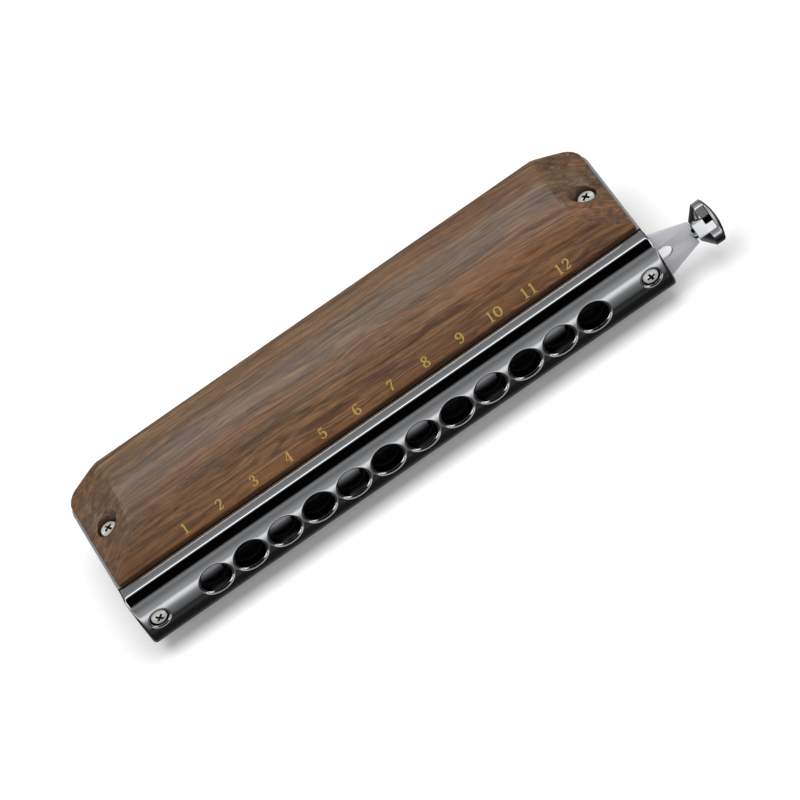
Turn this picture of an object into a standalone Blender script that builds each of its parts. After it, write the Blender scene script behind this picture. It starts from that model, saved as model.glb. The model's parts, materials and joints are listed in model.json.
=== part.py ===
"""A twelve-hole chromatic harmonica with a plated mouthpiece and wooden covers.

The model is built as the instrument is assembled on a bench. A moulded comb carries two reed
plates. A hollowed wooden cover closes each plate. In front of the comb stand a gasket and the two
plates that guide the slide, and the mouthpiece is screwed on over them.

Frame: X runs along the row of holes towards the button, -Y is the player's side, +Z is up.
The origin is the middle of the flat on the lower cover that the instrument rests on.
"""
import math

import bmesh
import bpy
from mathutils import Euler, Matrix, Vector

MM = 0.001
WELD = 0.00001

# Row of mouth holes
HOLE_COUNT = 12
HOLE_PITCH = 9.5 * MM
HOLE_WEB = 2.05 * MM
HOLE_LIP = 0.6 * MM

# Clearances
FIT_GAP = 0.3 * MM
RUNNING_GAP = 0.3 * MM
SHANK_GAP = 0.3 * MM

# Lengths along the instrument
END_MARGIN = 20.25 * MM
COMB_STEP = 0.2 * MM
COVER_MARGIN = 1.3 * MM

# Comb and reed plates
COMB_THICKNESS = 11.8 * MM
COMB_BACK_STEP = 0.2 * MM
PLATE_THICKNESS = 1.0 * MM
PLATE_BACK_MARGIN = 0.3 * MM
PLATE_CORNER = 4.0 * MM
FRONT_CORNER = 0.6 * MM
CHAMBER_WEB = 1.9 * MM
CHAMBER_FLOOR = 1.6 * MM
CHAMBER_REST = 1.0 * MM

# Reeds, their slots and their valves
SLOT_SPACING = 3.9 * MM
SLOT_WIDTH = 2.2 * MM
SLOT_START = 8.2 * MM
LONGEST_SLOT = 16.5 * MM
SHORTEST_SLOT = 9.0 * MM
REED_WIDTH = 1.9 * MM
REED_TIP_WIDTH = 1.6 * MM
REED_PAD_WIDTH = 2.7 * MM
REED_PAD_LENGTH = 2.8 * MM
REED_PAD_SETBACK = 0.25 * MM
REED_THICKNESS = 0.35 * MM
REED_END_GAP = 0.25 * MM
REED_WELD = 0.05 * MM
VALVE_WIDTH = 2.7 * MM
VALVE_THICKNESS = 0.2 * MM
VALVE_LAP = 0.8 * MM

# Plates and gasket in front of the comb
STACK_HEIGHT = 14.4 * MM
GASKET_THICKNESS = 0.8 * MM
BACK_PLATE_THICKNESS = 0.6 * MM
FRONT_PLATE_THICKNESS = 0.7 * MM
WINDOW_LAP = 0.35 * MM
WINDOW_HEIGHT = 4.2 * MM
WINDOW_CORNER = 0.8 * MM
WINDOW_WEB = 1.6 * MM

# Slide and button
SLIDE_THICKNESS = 0.8 * MM
SLIDE_REACH = 9.4 * MM
SLIDE_TIP_HEIGHT = 6.9 * MM
SLIDE_TANG_HEIGHT = 2.2 * MM
SLIDE_TANG_LENGTH = 3.0 * MM
SLIDE_SLOT_REACH = 3.35 * MM
BUTTON_HUB_DIAMETER = 3.4 * MM
BUTTON_HUB_LENGTH = 1.2 * MM
BUTTON_NECK_DIAMETER = 5.7 * MM
BUTTON_RIM_DIAMETER = 11.1 * MM
BUTTON_CONE_LENGTH = 2.7 * MM
BUTTON_RIM_LENGTH = 2.2 * MM
BUTTON_DOME_HEIGHT = 1.2 * MM
BUTTON_EDGE = 0.25 * MM

# Mouthpiece
NOSE_DEPTH = 4.6 * MM
MOUTH_WALL = 2.9 * MM
MOUTH_LIP_WALL = 0.5 * MM
MOUTH_INNER_WALL = 0.6 * MM
MOUTH_END_ROUND = 1.2 * MM

# Screws, bumpers and bushes
SCREW_CROWN = 0.4 * MM
MOUTH_SCREW_INSET = 4.5 * MM
MOUTH_SCREW_HEAD = 3.9 * MM
MOUTH_SCREW_HEAD_HEIGHT = 1.2 * MM
MOUTH_SCREW_SHANK = 1.8 * MM
MOUTH_SCREW_SEAT = 1.2 * MM
MOUTH_SCREW_RECESS = 5.2 * MM
MOUTH_SCREW_BITE = 9.0 * MM
BUMPER_DIAMETER = 3.0 * MM
PLATE_SCREW_HEAD = 3.0 * MM
PLATE_SCREW_HEAD_HEIGHT = 0.9 * MM
PLATE_SCREW_SHANK = 1.6 * MM
PLATE_SCREW_BITE = 4.0 * MM
PLATE_SCREW_END_INSET = 14.35 * MM
PLATE_SCREW_FRONT_INSET = 12.0 * MM
PLATE_SCREW_BACK_INSET = 2.4 * MM
PLATE_SCREW_MIDDLE = 19.0 * MM
COVER_SCREW_INSET = 5.75 * MM
COVER_SCREW_DEPTH = 17.0 * MM
COVER_SCREW_HEAD = 4.1 * MM
COVER_SCREW_HEAD_HEIGHT = 1.2 * MM
COVER_SCREW_SHANK = 2.0 * MM
COVER_SCREW_RECESS = 4.8 * MM
COVER_SCREW_FLARE = 14.0
COVER_SCREW_SEAT = 1.0 * MM
COVER_SCREW_BITE = 3.8 * MM
BUSH_DIAMETER = 4.2 * MM

# Slide spring, a hairpin of wire round a post in the comb
SPRING_WIRE = 0.7 * MM
SPRING_RADIUS = 1.9 * MM
SPRING_TURNS = 1.5
SPRING_RISE = 1.1 * MM
SPRING_POST_GAP = 0.35 * MM
SPRING_HOLE_WALL = 0.5 * MM
SPRING_DEPTH = 6.3 * MM
SPRING_LEG = 5.4 * MM
SPRING_ROOM = 3.1 * MM
SPRING_HOLE = 1.5 * MM

# Wooden covers
COVER_DEPTH = 33.0 * MM
COVER_SETBACK = 0.8 * MM
COVER_HEIGHT = 6.5 * MM
COVER_FRONT_FACE = 1.0 * MM
COVER_FRONT_SLOPE = 42.0
COVER_SHOULDER = 9.5 * MM
COVER_END_FACE = 1.2 * MM
COVER_END_SLOPE = 28.0
COVER_CREASE = 3.0 * MM
COVER_BACK_CORNER = 4.0 * MM
COVER_CEILING = 2.0 * MM
COVER_FRONT_WALL = 3.2 * MM
COVER_END_WALL = 11.0 * MM

# Steps that round shapes are drawn in
HOLE_STEPS = 16
BUTTON_STEPS = 20
HEAD_STEPS = 16
SMALL_ROUND_STEPS = 8
NOSE_STEPS = 16
DOME_STEPS = 4
LIP_STEPS = 2
SPRING_STEPS = 14

# Places worked out from the sizes above
HOLE_BORE = HOLE_PITCH - HOLE_WEB
CHAMBER_WIDTH = HOLE_PITCH - CHAMBER_WEB
SLIDE_TRAVEL = HOLE_PITCH / 2
WINDOW_WIDTH = SLIDE_TRAVEL - WINDOW_LAP
BODY_HALF = (HOLE_COUNT - 1) / 2 * HOLE_PITCH + END_MARGIN
COMB_HALF = BODY_HALF - COMB_STEP
COVER_HALF = COMB_HALF - COVER_MARGIN
HOLES_X = [(i - (HOLE_COUNT - 1) / 2) * HOLE_PITCH for i in range(HOLE_COUNT)]

COMB_TOP = COMB_THICKNESS / 2
PLATE_BOTTOM = COMB_TOP + FIT_GAP
PLATE_TOP = PLATE_BOTTOM + PLATE_THICKNESS
COVER_BOTTOM = PLATE_TOP + FIT_GAP
MIDDLE_Z = COVER_BOTTOM + COVER_HEIGHT

COVER_FRONT = -COVER_DEPTH / 2
COVER_BACK = COVER_DEPTH / 2
COMB_FRONT = COVER_FRONT - COVER_SETBACK
PLATE_BACK = COVER_BACK + PLATE_BACK_MARGIN
COMB_BACK = PLATE_BACK - COMB_BACK_STEP
GASKET_BACK = COMB_FRONT - FIT_GAP
GASKET_FRONT = GASKET_BACK - GASKET_THICKNESS
BACK_PLATE_BACK = GASKET_FRONT - FIT_GAP
BACK_PLATE_FRONT = BACK_PLATE_BACK - BACK_PLATE_THICKNESS
SLIDE_BACK = BACK_PLATE_FRONT - RUNNING_GAP
SLIDE_FRONT = SLIDE_BACK - SLIDE_THICKNESS
FRONT_PLATE_BACK = SLIDE_FRONT - RUNNING_GAP
FRONT_PLATE_FRONT = FRONT_PLATE_BACK - FRONT_PLATE_THICKNESS
POCKET_FLOOR = FRONT_PLATE_FRONT - FIT_GAP
NOSE_TIP = POCKET_FLOOR - MOUTH_WALL
NOSE_ROOT = NOSE_TIP + NOSE_DEPTH
MOUTH_HALF_HEIGHT = STACK_HEIGHT / 2 + FIT_GAP + MOUTH_LIP_WALL
NOSE_HALF_HEIGHT = MOUTH_HALF_HEIGHT * math.sqrt(1 - ((NOSE_ROOT - POCKET_FLOOR) / NOSE_DEPTH) ** 2)
FRONT_PLATE_HEIGHT = 2 * (NOSE_HALF_HEIGHT - MOUTH_INNER_WALL - FIT_GAP)

MOUTH_SCREW_X = BODY_HALF - MOUTH_SCREW_INSET
MOUTH_SCREW_HOLE = MOUTH_SCREW_SHANK + 2 * SHANK_GAP
MOUTH_SEAT_Y = POCKET_FLOOR - MOUTH_SCREW_SEAT
PLATE_SCREW_HOLE = PLATE_SCREW_SHANK + 2 * SHANK_GAP
COVER_SCREW_X = COMB_HALF - COVER_SCREW_INSET
COVER_SCREW_Y = COMB_FRONT + COVER_SCREW_DEPTH
COVER_SCREW_HOLE = COVER_SCREW_SHANK + 2 * SHANK_GAP

SLIDE_TIP_X = BODY_HALF + SLIDE_REACH
BUTTON_FACE_X = SLIDE_TIP_X + FIT_GAP
FORK_ROUND = BUMPER_DIAMETER / 2 + RUNNING_GAP
FORK_X = SLIDE_TRAVEL - MOUTH_SCREW_X
SPRING_LEG_X = FORK_X + FORK_ROUND + SPRING_HOLE_WALL + SPRING_HOLE / 2
SPRING_X = SPRING_LEG_X - SPRING_RADIUS
SPRING_Y = COMB_FRONT + SPRING_DEPTH
WINDOW_Z = (WINDOW_WEB + WINDOW_HEIGHT) / 2


def clear_scene():
    """Take every object out of the open file, and the meshes and curves that they leave behind."""
    for thing in list(bpy.data.objects):
        bpy.data.objects.remove(thing, do_unlink=True)
    for mesh in list(bpy.data.meshes):
        bpy.data.meshes.remove(mesh)
    for curve in list(bpy.data.curves):
        bpy.data.curves.remove(curve)


def make_collection(name):
    """A new collection in the scene."""
    collection = bpy.data.collections.new(name)
    bpy.context.scene.collection.children.link(collection)
    return collection


def make_material(name, colour, roughness, metallic):
    """A plain Principled material."""
    material = bpy.data.materials.new(name)
    material.use_nodes = True
    shader = material.node_tree.nodes["Principled BSDF"]
    shader.inputs["Base Color"].default_value = (*colour, 1.0)
    shader.inputs["Roughness"].default_value = roughness
    shader.inputs["Metallic"].default_value = metallic
    material.diffuse_color = (*colour, 1.0)
    return material


def arc(centre, radius, start, end, steps):
    """Points along an arc between two angles in degrees."""
    angles = [math.radians(start + (end - start) * i / steps) for i in range(steps + 1)]
    return [(centre[0] + radius * math.cos(a), centre[1] + radius * math.sin(a)) for a in angles]


def circle(centre, diameter, steps=SMALL_ROUND_STEPS):
    """Outline of a round hole."""
    return arc(centre, diameter / 2, 0, 360, steps)[:-1]


def rounded_rectangle(low, high, front_radius, back_radius, steps=4):
    """Outline of a rectangle, with one corner radius at its low side and one at its high side."""
    x0, y0 = low
    x1, y1 = high
    f, b = front_radius, back_radius
    return (
        arc((x0 + f, y0 + f), f, 180, 270, steps)
        + arc((x1 - f, y0 + f), f, 270, 360, steps)
        + arc((x1 - b, y1 - b), b, 0, 90, steps)
        + arc((x0 + b, y1 - b), b, 90, 180, steps)
    )


def window(centre_x, centre_y, width, height, corner):
    """Outline of a window about its centre, with cut corners where the corner has a size."""
    left, right = centre_x - width / 2, centre_x + width / 2
    low, high = centre_y - height / 2, centre_y + height / 2
    if corner:
        return rounded_rectangle((left, low), (right, high), corner, corner, 1)
    return [(left, low), (right, low), (right, high), (left, high)]


def flat_mesh(outlines, thickness, placement=Matrix()):
    """Mesh of flat stock: a filled 2D curve, whose later outlines are holes, extruded and welded."""
    curve = bpy.data.curves.new("outline", "CURVE")
    curve.dimensions = "2D"
    curve.fill_mode = "BOTH"
    curve.extrude = thickness / 2
    for outline in outlines:
        spline = curve.splines.new("POLY")
        spline.points.add(len(outline) - 1)
        for point, (x, y) in zip(spline.points, outline):
            point.co = (x, y, 0, 1)
        spline.use_cyclic_u = True
    holder = bpy.data.objects.new("outline", curve)
    bpy.context.scene.collection.objects.link(holder)
    evaluated = holder.evaluated_get(bpy.context.evaluated_depsgraph_get())
    mesh = bpy.data.meshes.new_from_object(evaluated)
    bpy.data.objects.remove(holder)
    bpy.data.curves.remove(curve)
    bm = bmesh.new()
    bm.from_mesh(mesh)
    bmesh.ops.remove_doubles(bm, verts=bm.verts, dist=WELD)
    bmesh.ops.transform(bm, matrix=placement, verts=bm.verts)
    return finished_mesh(bm, mesh)


def box_mesh(low, high):
    """Mesh of a box between two corners."""
    bm = bmesh.new()
    size = Vector(high) - Vector(low)
    middle = (Vector(high) + Vector(low)) / 2
    placement = Matrix.Translation(middle) @ Matrix.Diagonal((*size, 1.0))
    bmesh.ops.create_cube(bm, size=1.0, matrix=placement)
    return finished_mesh(bm)


def turned_mesh(profile, steps, placement=Matrix()):
    """Mesh turned about Z from (radius, height) points that begin and end on the axis."""
    bm = bmesh.new()
    points = [bm.verts.new((radius, 0.0, height)) for radius, height in profile]
    edges = [bm.edges.new(pair) for pair in zip(points, points[1:])]
    bmesh.ops.spin(
        bm,
        geom=points + edges,
        cent=(0, 0, 0),
        axis=(0, 0, 1),
        angle=math.tau,
        steps=steps,
        use_merge=True,
    )
    bmesh.ops.remove_doubles(bm, verts=bm.verts, dist=WELD)
    bmesh.ops.transform(bm, matrix=placement, verts=bm.verts)
    return finished_mesh(bm)


def finished_mesh(bm, mesh=None):
    """Turn the faces of a bmesh outwards and store it."""
    bmesh.ops.recalc_face_normals(bm, faces=bm.faces)
    mesh = mesh or bpy.data.meshes.new("shape")
    bm.to_mesh(mesh)
    bm.free()
    return mesh


def gathered(copies):
    """One mesh of separate solids from (mesh, placement) pairs."""
    bm = bmesh.new()
    for mesh, placement in copies:
        first = len(bm.verts)
        bm.from_mesh(mesh)
        bm.verts.ensure_lookup_table()
        bmesh.ops.transform(bm, matrix=placement, verts=bm.verts[first:])
    return finished_mesh(bm)


def moved(x, y, z):
    """A placement that only moves."""
    return Matrix.Translation((x, y, z))


def smooth_mesh(mesh, angle=30):
    """Shade a mesh smooth, apart from its sharp edges."""
    mesh.shade_smooth()
    mesh.set_sharp_from_angle(angle=math.radians(angle))


def add_part(name, mesh, material, location=(0, 0, 0), rotation=(0, 0, 0), parent=None):
    """Put a named piece in the harmonica's collection. Copies of a piece may share one mesh."""
    if not mesh.materials:
        mesh.name = name
        mesh.materials.append(material)
    part = bpy.data.objects.new(name, mesh)
    part.location = location
    part.rotation_euler = rotation
    part.parent = parent
    PARTS.objects.link(part)
    return part


def carve(part, name, mesh, operation="DIFFERENCE", solver="EXACT"):
    """Cut a piece with a tool, or keep what the two share, by a Boolean modifier."""
    tool = bpy.data.objects.new(name, mesh)
    tool.hide_render = True
    tool.display_type = "WIRE"
    CUTTERS.objects.link(tool)
    cut = part.modifiers.new(name, "BOOLEAN")
    cut.operation = operation
    cut.solver = solver
    cut.object = tool


def slot_length(hole):
    """Length of a hole's reed slots, in even ratios from the lowest note to the highest."""
    share = hole / (HOLE_COUNT - 1)
    return LONGEST_SLOT * (SHORTEST_SLOT / LONGEST_SLOT) ** share


def slot_front():
    """Where every reed slot begins."""
    return COMB_FRONT + SLOT_START


def chamber_back(hole):
    """Where a hole's chamber ends: past its blow reed's pad."""
    return slot_front() + slot_length(hole) + REED_PAD_SETBACK + REED_PAD_LENGTH + CHAMBER_REST


def plate_screw_places():
    """The six screws of a reed plate: four near the corners and two behind the middle chambers."""
    end = BODY_HALF - PLATE_SCREW_END_INSET
    front = COMB_FRONT + PLATE_SCREW_FRONT_INSET
    back = COMB_BACK - PLATE_SCREW_BACK_INSET
    corners = [(side * end, y) for side in (-1, 1) for y in (front, back)]
    return corners + [(side * PLATE_SCREW_MIDDLE, back) for side in (-1, 1)]


def make_comb():
    """The moulded comb: a chamber above and below for each hole, screw holes, the spring's pocket."""
    comb = add_part(
        "comb",
        box_mesh((-COMB_HALF, COMB_FRONT, -COMB_TOP), (COMB_HALF, COMB_BACK, COMB_TOP)),
        BLACK_PLASTIC,
        location=(0, 0, MIDDLE_Z),
    )
    corners = [e for e in comb.data.edges if is_back_upright(comb.data, e)]
    weights = comb.data.attributes.new("bevel_weight_edge", "FLOAT", "EDGE")
    for edge in corners:
        weights.data[edge.index].value = 1.0
    rounding = comb.modifiers.new("back corners", "BEVEL")
    rounding.limit_method = "WEIGHT"
    rounding.width = PLATE_CORNER - COMB_BACK_STEP
    rounding.segments = 4

    overrun = COMB_TOP
    chambers = []
    for hole, x in enumerate(HOLES_X):
        left, right = x - CHAMBER_WIDTH / 2, x + CHAMBER_WIDTH / 2
        round_y = chamber_back(hole) - CHAMBER_WIDTH / 2
        outline = [(left, COMB_FRONT - overrun), (right, COMB_FRONT - overrun)]
        outline += arc((x, round_y), CHAMBER_WIDTH / 2, 0, 180, 4)
        height = COMB_TOP - CHAMBER_FLOOR / 2 + overrun
        middle = CHAMBER_FLOOR / 2 + height / 2
        for side in (-1, 1):
            chambers.append((flat_mesh([outline], height), moved(0, 0, MIDDLE_Z + side * middle)))
    carve(comb, "chambers", gathered(chambers))

    half = SPRING_ROOM
    room_back = SPRING_Y + half
    floor = MIDDLE_Z - SPRING_WIRE / 2 - FIT_GAP - SPRING_RISE / 2
    top = MIDDLE_Z + COMB_TOP + overrun
    outline = [(SPRING_X - half, COMB_FRONT - overrun), (SPRING_X + half, COMB_FRONT - overrun)]
    outline += [(SPRING_X + half, room_back), (SPRING_X - half, room_back)]
    post = circle((SPRING_X, SPRING_Y), 2 * (SPRING_RADIUS - SPRING_WIRE / 2 - SPRING_POST_GAP))
    pocket = flat_mesh([outline, post], top - floor, moved(0, 0, (top + floor) / 2))
    carve(comb, "spring pocket", pocket)

    bores = []
    pilot_length = MOUTH_SCREW_BITE + FIT_GAP + overrun
    pilot = turned_mesh(rod_profile(MOUTH_SCREW_HOLE, pilot_length), SMALL_ROUND_STEPS)
    for side in (-1, 1):
        start = moved(side * MOUTH_SCREW_X, COMB_FRONT - overrun, MIDDLE_Z)
        bores.append((pilot, start @ TO_BACK))
    drill = turned_mesh(rod_profile(BUSH_DIAMETER + 2 * FIT_GAP, 4 * COMB_TOP), SMALL_ROUND_STEPS)
    for side in (-1, 1):
        bores.append((drill, moved(side * COVER_SCREW_X, COVER_SCREW_Y, MIDDLE_Z - 2 * COMB_TOP)))
    depth = PLATE_SCREW_BITE + FIT_GAP
    small = turned_mesh(rod_profile(PLATE_SCREW_HOLE, depth + overrun), SMALL_ROUND_STEPS)
    for x, y in plate_screw_places():
        bores.append((small, moved(x, y, MIDDLE_Z + COMB_TOP - depth)))
        bores.append((small, moved(x, y, MIDDLE_Z - COMB_TOP + depth) @ UPSIDE_DOWN))
    carve(comb, "screw holes", gathered(bores))


def is_back_upright(mesh, edge):
    """True for the two upright edges at a box's back corners."""
    a, b = (mesh.vertices[i].co for i in edge.vertices)
    return a.y > 0 and b.y > 0 and abs(a.z - b.z) > WELD and abs(a.x - b.x) < WELD


def rod_profile(diameter, length):
    """Profile of a plain rod from height 0 up."""
    return [(0, 0), (diameter / 2, 0), (diameter / 2, length), (0, length)]


def reed_outline(length):
    """Plan of a reed whose slot begins at 0: a wide pad, and a tongue that narrows to its tip."""
    pad, root, tip = REED_PAD_WIDTH / 2, REED_WIDTH / 2, REED_TIP_WIDTH / 2
    shoulder = -REED_PAD_SETBACK
    return [
        (-pad, shoulder - REED_PAD_LENGTH),
        (pad, shoulder - REED_PAD_LENGTH),
        (pad, shoulder),
        (root, shoulder),
        (tip, length),
        (-tip, length),
        (-root, shoulder),
        (-pad, shoulder),
    ]


def reed_set(side):
    """A plate's 24 reeds, welded on by their pads: draw reeds outside it, blow reeds in the chambers."""
    outside = side * (PLATE_THICKNESS + REED_THICKNESS - 2 * REED_WELD) / 2
    reeds = []
    for hole, x in enumerate(HOLES_X):
        length = slot_length(hole)
        reed = flat_mesh([reed_outline(length - REED_END_GAP)], REED_THICKNESS)
        reeds.append((reed, moved(x + SLOT_SPACING / 2, slot_front(), outside)))
        blow_root = moved(x - SLOT_SPACING / 2, slot_front() + length, -outside)
        reeds.append((reed, blow_root @ HALF_TURN))
    return gathered(reeds)


def make_reed_plates():
    """The two plates, each with a blow and a draw slot for every hole and a reed over each slot."""
    low = (-COMB_HALF, COMB_FRONT)
    high = (COMB_HALF, PLATE_BACK)
    outlines = [rounded_rectangle(low, high, FRONT_CORNER, PLATE_CORNER)]
    for hole, x in enumerate(HOLES_X):
        front, back = slot_front(), slot_front() + slot_length(hole)
        for side in (-1, 1):
            left = x + side * SLOT_SPACING / 2 - SLOT_WIDTH / 2
            right = left + SLOT_WIDTH
            outlines.append([(left, front), (right, front), (right, back), (left, back)])
    outlines += [circle(place, PLATE_SCREW_HOLE) for place in plate_screw_places()]
    for side in (-1, 1):
        outlines.append(circle((side * COVER_SCREW_X, COVER_SCREW_Y), COVER_SCREW_HOLE))
    middle = (PLATE_BOTTOM + PLATE_TOP) / 2
    for name, side in SIDES:
        place = (0, 0, MIDDLE_Z + side * middle)
        plate = add_part(name + "_reed_plate", flat_mesh(outlines, PLATE_THICKNESS), PLATED_BRASS, place)
        reeds = gathered([(reed_set(side), moved(*place))])
        carve(plate, name + " reeds", reeds, "UNION", "MANIFOLD")


def make_valves():
    """A valve over each blow slot, outside its plate: a strip glued down behind the reed's root."""
    half = VALVE_WIDTH / 2
    height = PLATE_TOP + FIT_GAP + VALVE_THICKNESS / 2
    for hole, x in enumerate(HOLES_X):
        root = slot_front() + slot_length(hole) + REED_PAD_SETBACK + REED_PAD_LENGTH
        tip = slot_front() - VALVE_LAP
        left, right = x - SLOT_SPACING / 2 - half, x - SLOT_SPACING / 2 + half
        outline = [(left, tip), (right, tip), (right, root), (left, root)]
        strip = flat_mesh([outline], VALVE_THICKNESS)
        for name, side in SIDES:
            valve = f"{name}_valve_{hole + 1:02d}"
            add_part(valve, strip, VALVE_FILM, (0, 0, MIDDLE_Z + side * height))


def screw_mesh(head, head_height, shank, length, steps, crown=0):
    """A screw that stands head up on height 0. Its head is flat, or domed by the crown's height."""
    profile = [(0, -length), (shank / 2, -length), (shank / 2, 0), (head / 2, 0)]
    profile.append((head / 2, head_height - crown))
    if crown:
        profile.append((head / 3, head_height - crown / 4))
    profile.append((0, head_height))
    return turned_mesh(profile, steps)


def make_plate_screws():
    """Six small screws hold each reed plate to the comb."""
    seat = PLATE_TOP + FIT_GAP
    length = seat - COMB_TOP + PLATE_SCREW_BITE
    head, height = PLATE_SCREW_HEAD, PLATE_SCREW_HEAD_HEIGHT
    screw = screw_mesh(head, height, PLATE_SCREW_SHANK, length, SMALL_ROUND_STEPS)
    for name, side in SIDES:
        turn = TURNED_OVER if side < 0 else UPRIGHT
        for number, (x, y) in enumerate(plate_screw_places(), 1):
            place = (x, y, MIDDLE_Z + side * seat)
            add_part(f"{name}_plate_screw_{number}", screw, STEEL, place, turn)


def stack_outline(height):
    """Outline of a plate or gasket in front of the comb, seen from the player's side."""
    low, high = (-COMB_HALF, -height / 2), (COMB_HALF, height / 2)
    return rounded_rectangle(low, high, FRONT_CORNER, FRONT_CORNER)


def screw_pair(diameter):
    """Outlines of the two holes that the mouthpiece screws pass through."""
    return [circle((side * MOUTH_SCREW_X, 0), diameter) for side in (-1, 1)]


def spring_window():
    """Outline that leaves room for the spring's leg to swing with the slide."""
    left = SPRING_LEG_X - SLIDE_TRAVEL - SPRING_WIRE / 2 - SHANK_GAP / 2
    right = SPRING_LEG_X + SPRING_WIRE / 2 + SHANK_GAP
    return window((left + right) / 2, 0, right - left, SPRING_HOLE, SPRING_HOLE / 3)


def airways(corner):
    """Outlines of the two airways behind each mouth hole: one to the upper plate, one to the lower."""
    return [
        window(x, z, WINDOW_WIDTH, WINDOW_HEIGHT, corner)
        for x in HOLES_X
        for z in (WINDOW_Z, -WINDOW_Z)
    ]


def slide_windows():
    """Outlines of the slide's windows, cross-cut so that neighbouring holes begin on unlike plates.

    A window is open to the airway of the hole on its right at rest. Pressed, it has moved half a
    pitch and is open to the one on its left.
    """
    half = WINDOW_WIDTH / 2
    outlines = []
    for z, first in ((WINDOW_Z, -1), (-WINDOW_Z, 0)):
        for left_hole in range(first, HOLE_COUNT, 2):
            left, right = HOLES_X[0] - half, HOLES_X[-1] + SLIDE_TRAVEL + half
            if left_hole >= 0:
                left = HOLES_X[left_hole] + SLIDE_TRAVEL - half
            if left_hole + 1 < HOLE_COUNT:
                right = HOLES_X[left_hole + 1] + half
            outlines.append(window((left + right) / 2, z, right - left, WINDOW_HEIGHT, WINDOW_CORNER))
    return outlines


def make_stack():
    """Gasket, back plate and front plate of the slide."""
    holes = [stack_outline(STACK_HEIGHT), spring_window()] + screw_pair(MOUTH_SCREW_HOLE)
    gasket = holes + airways(0)
    middle = (GASKET_FRONT + GASKET_BACK) / 2
    add_part("comb_gasket", flat_mesh(gasket, GASKET_THICKNESS), RUBBER, (0, middle, MIDDLE_Z), FACING)

    middle = (BACK_PLATE_FRONT + BACK_PLATE_BACK) / 2
    plate = flat_mesh(holes + airways(WINDOW_CORNER), BACK_PLATE_THICKNESS)
    add_part("slide_back_plate", plate, SATIN_STEEL, (0, middle, MIDDLE_Z), FACING)

    front = [stack_outline(FRONT_PLATE_HEIGHT)] + screw_pair(MOUTH_SCREW_HOLE)
    front += [circle((x, 0), HOLE_BORE, HOLE_STEPS) for x in HOLES_X]
    middle = (FRONT_PLATE_FRONT + FRONT_PLATE_BACK) / 2
    plate = flat_mesh(front, FRONT_PLATE_THICKNESS)
    add_part("slide_front_plate", plate, SATIN_STEEL, (0, middle, MIDDLE_Z), FACING)


def make_slide():
    """The slide and its button, under an empty on the line that they travel along."""
    travel_line = bpy.data.objects.new("slide_travel", None)
    travel_line.location = (BODY_HALF, (SLIDE_FRONT + SLIDE_BACK) / 2, MIDDLE_Z)
    PARTS.objects.link(travel_line)

    half, tip, tang = STACK_HEIGHT / 2, SLIDE_TIP_HEIGHT / 2, SLIDE_TANG_HEIGHT / 2
    left_end = -(BODY_HALF - SLIDE_TRAVEL - RUNNING_GAP)
    tang_end = SLIDE_TIP_X + FIT_GAP + SLIDE_TANG_LENGTH
    outline = [(left_end, -half), (BODY_HALF, -half), (SLIDE_TIP_X, -tip), (SLIDE_TIP_X, -tang)]
    outline += [(tang_end, -tang), (tang_end, tang), (SLIDE_TIP_X, tang), (SLIDE_TIP_X, tip)]
    outline += [(BODY_HALF, half), (left_end, half), (left_end, FORK_ROUND)]
    outline += arc((FORK_X, 0), FORK_ROUND, 90, -90, 6)
    outline += [(left_end, -FORK_ROUND)]

    slot_end = BODY_HALF + SLIDE_SLOT_REACH - FORK_ROUND
    screw_slot = arc((slot_end, 0), FORK_ROUND, -90, 90, 6)
    screw_slot += arc((MOUTH_SCREW_X, 0), FORK_ROUND, 90, 270, 6)
    holes = [screw_slot, circle((SPRING_LEG_X, 0), SPRING_HOLE)] + slide_windows()
    shift = moved(-BODY_HALF, 0, 0)
    mesh = flat_mesh([outline] + holes, SLIDE_THICKNESS, shift)
    add_part("slide", mesh, SATIN_STEEL, rotation=FACING, parent=travel_line)

    cone_x = BUTTON_CONE_LENGTH
    rim_x = cone_x + BUTTON_RIM_LENGTH
    hub, neck, rim = BUTTON_HUB_DIAMETER / 2, BUTTON_NECK_DIAMETER / 2, BUTTON_RIM_DIAMETER / 2
    profile = [
        (0, -BUTTON_HUB_LENGTH),
        (hub - BUTTON_EDGE, -BUTTON_HUB_LENGTH),
        (hub, BUTTON_EDGE - BUTTON_HUB_LENGTH),
        (hub, 0),
        (neck, 0),
        (rim - BUTTON_EDGE, cone_x - BUTTON_EDGE),
        (rim, cone_x),
        (rim, rim_x - BUTTON_EDGE),
        (rim - BUTTON_EDGE, rim_x),
    ]
    dome_radius = (rim**2 + BUTTON_DOME_HEIGHT**2) / (2 * BUTTON_DOME_HEIGHT)
    for step in range(1, DOME_STEPS + 1):
        radius = rim * (1 - step / DOME_STEPS)
        fall = dome_radius - math.sqrt(dome_radius**2 - radius**2)
        profile.append((radius, rim_x + BUTTON_DOME_HEIGHT - fall))
    button = add_part(
        "slide_button",
        turned_mesh(profile, BUTTON_STEPS),
        CHROME,
        location=(BUTTON_FACE_X - BODY_HALF, 0, 0),
        rotation=(0, math.pi / 2, 0),
        parent=travel_line,
    )
    half_slot = SLIDE_THICKNESS / 2 + FIT_GAP
    half_tang = tang + FIT_GAP
    mid_y = (SLIDE_FRONT + SLIDE_BACK) / 2
    low = (BUTTON_FACE_X - 2 * BUTTON_HUB_LENGTH, mid_y - half_slot, MIDDLE_Z - neck)
    high = (BUTTON_FACE_X, mid_y + half_slot, MIDDLE_Z + neck)
    hub_slot = box_mesh(low, high)
    low = (BUTTON_FACE_X - FIT_GAP, mid_y - half_slot, MIDDLE_Z - half_tang)
    high = (tang_end + FIT_GAP, mid_y + half_slot, MIDDLE_Z + half_tang)
    carve(button, "hub slot", hub_slot)
    carve(button, "tang socket", box_mesh(low, high))


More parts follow.
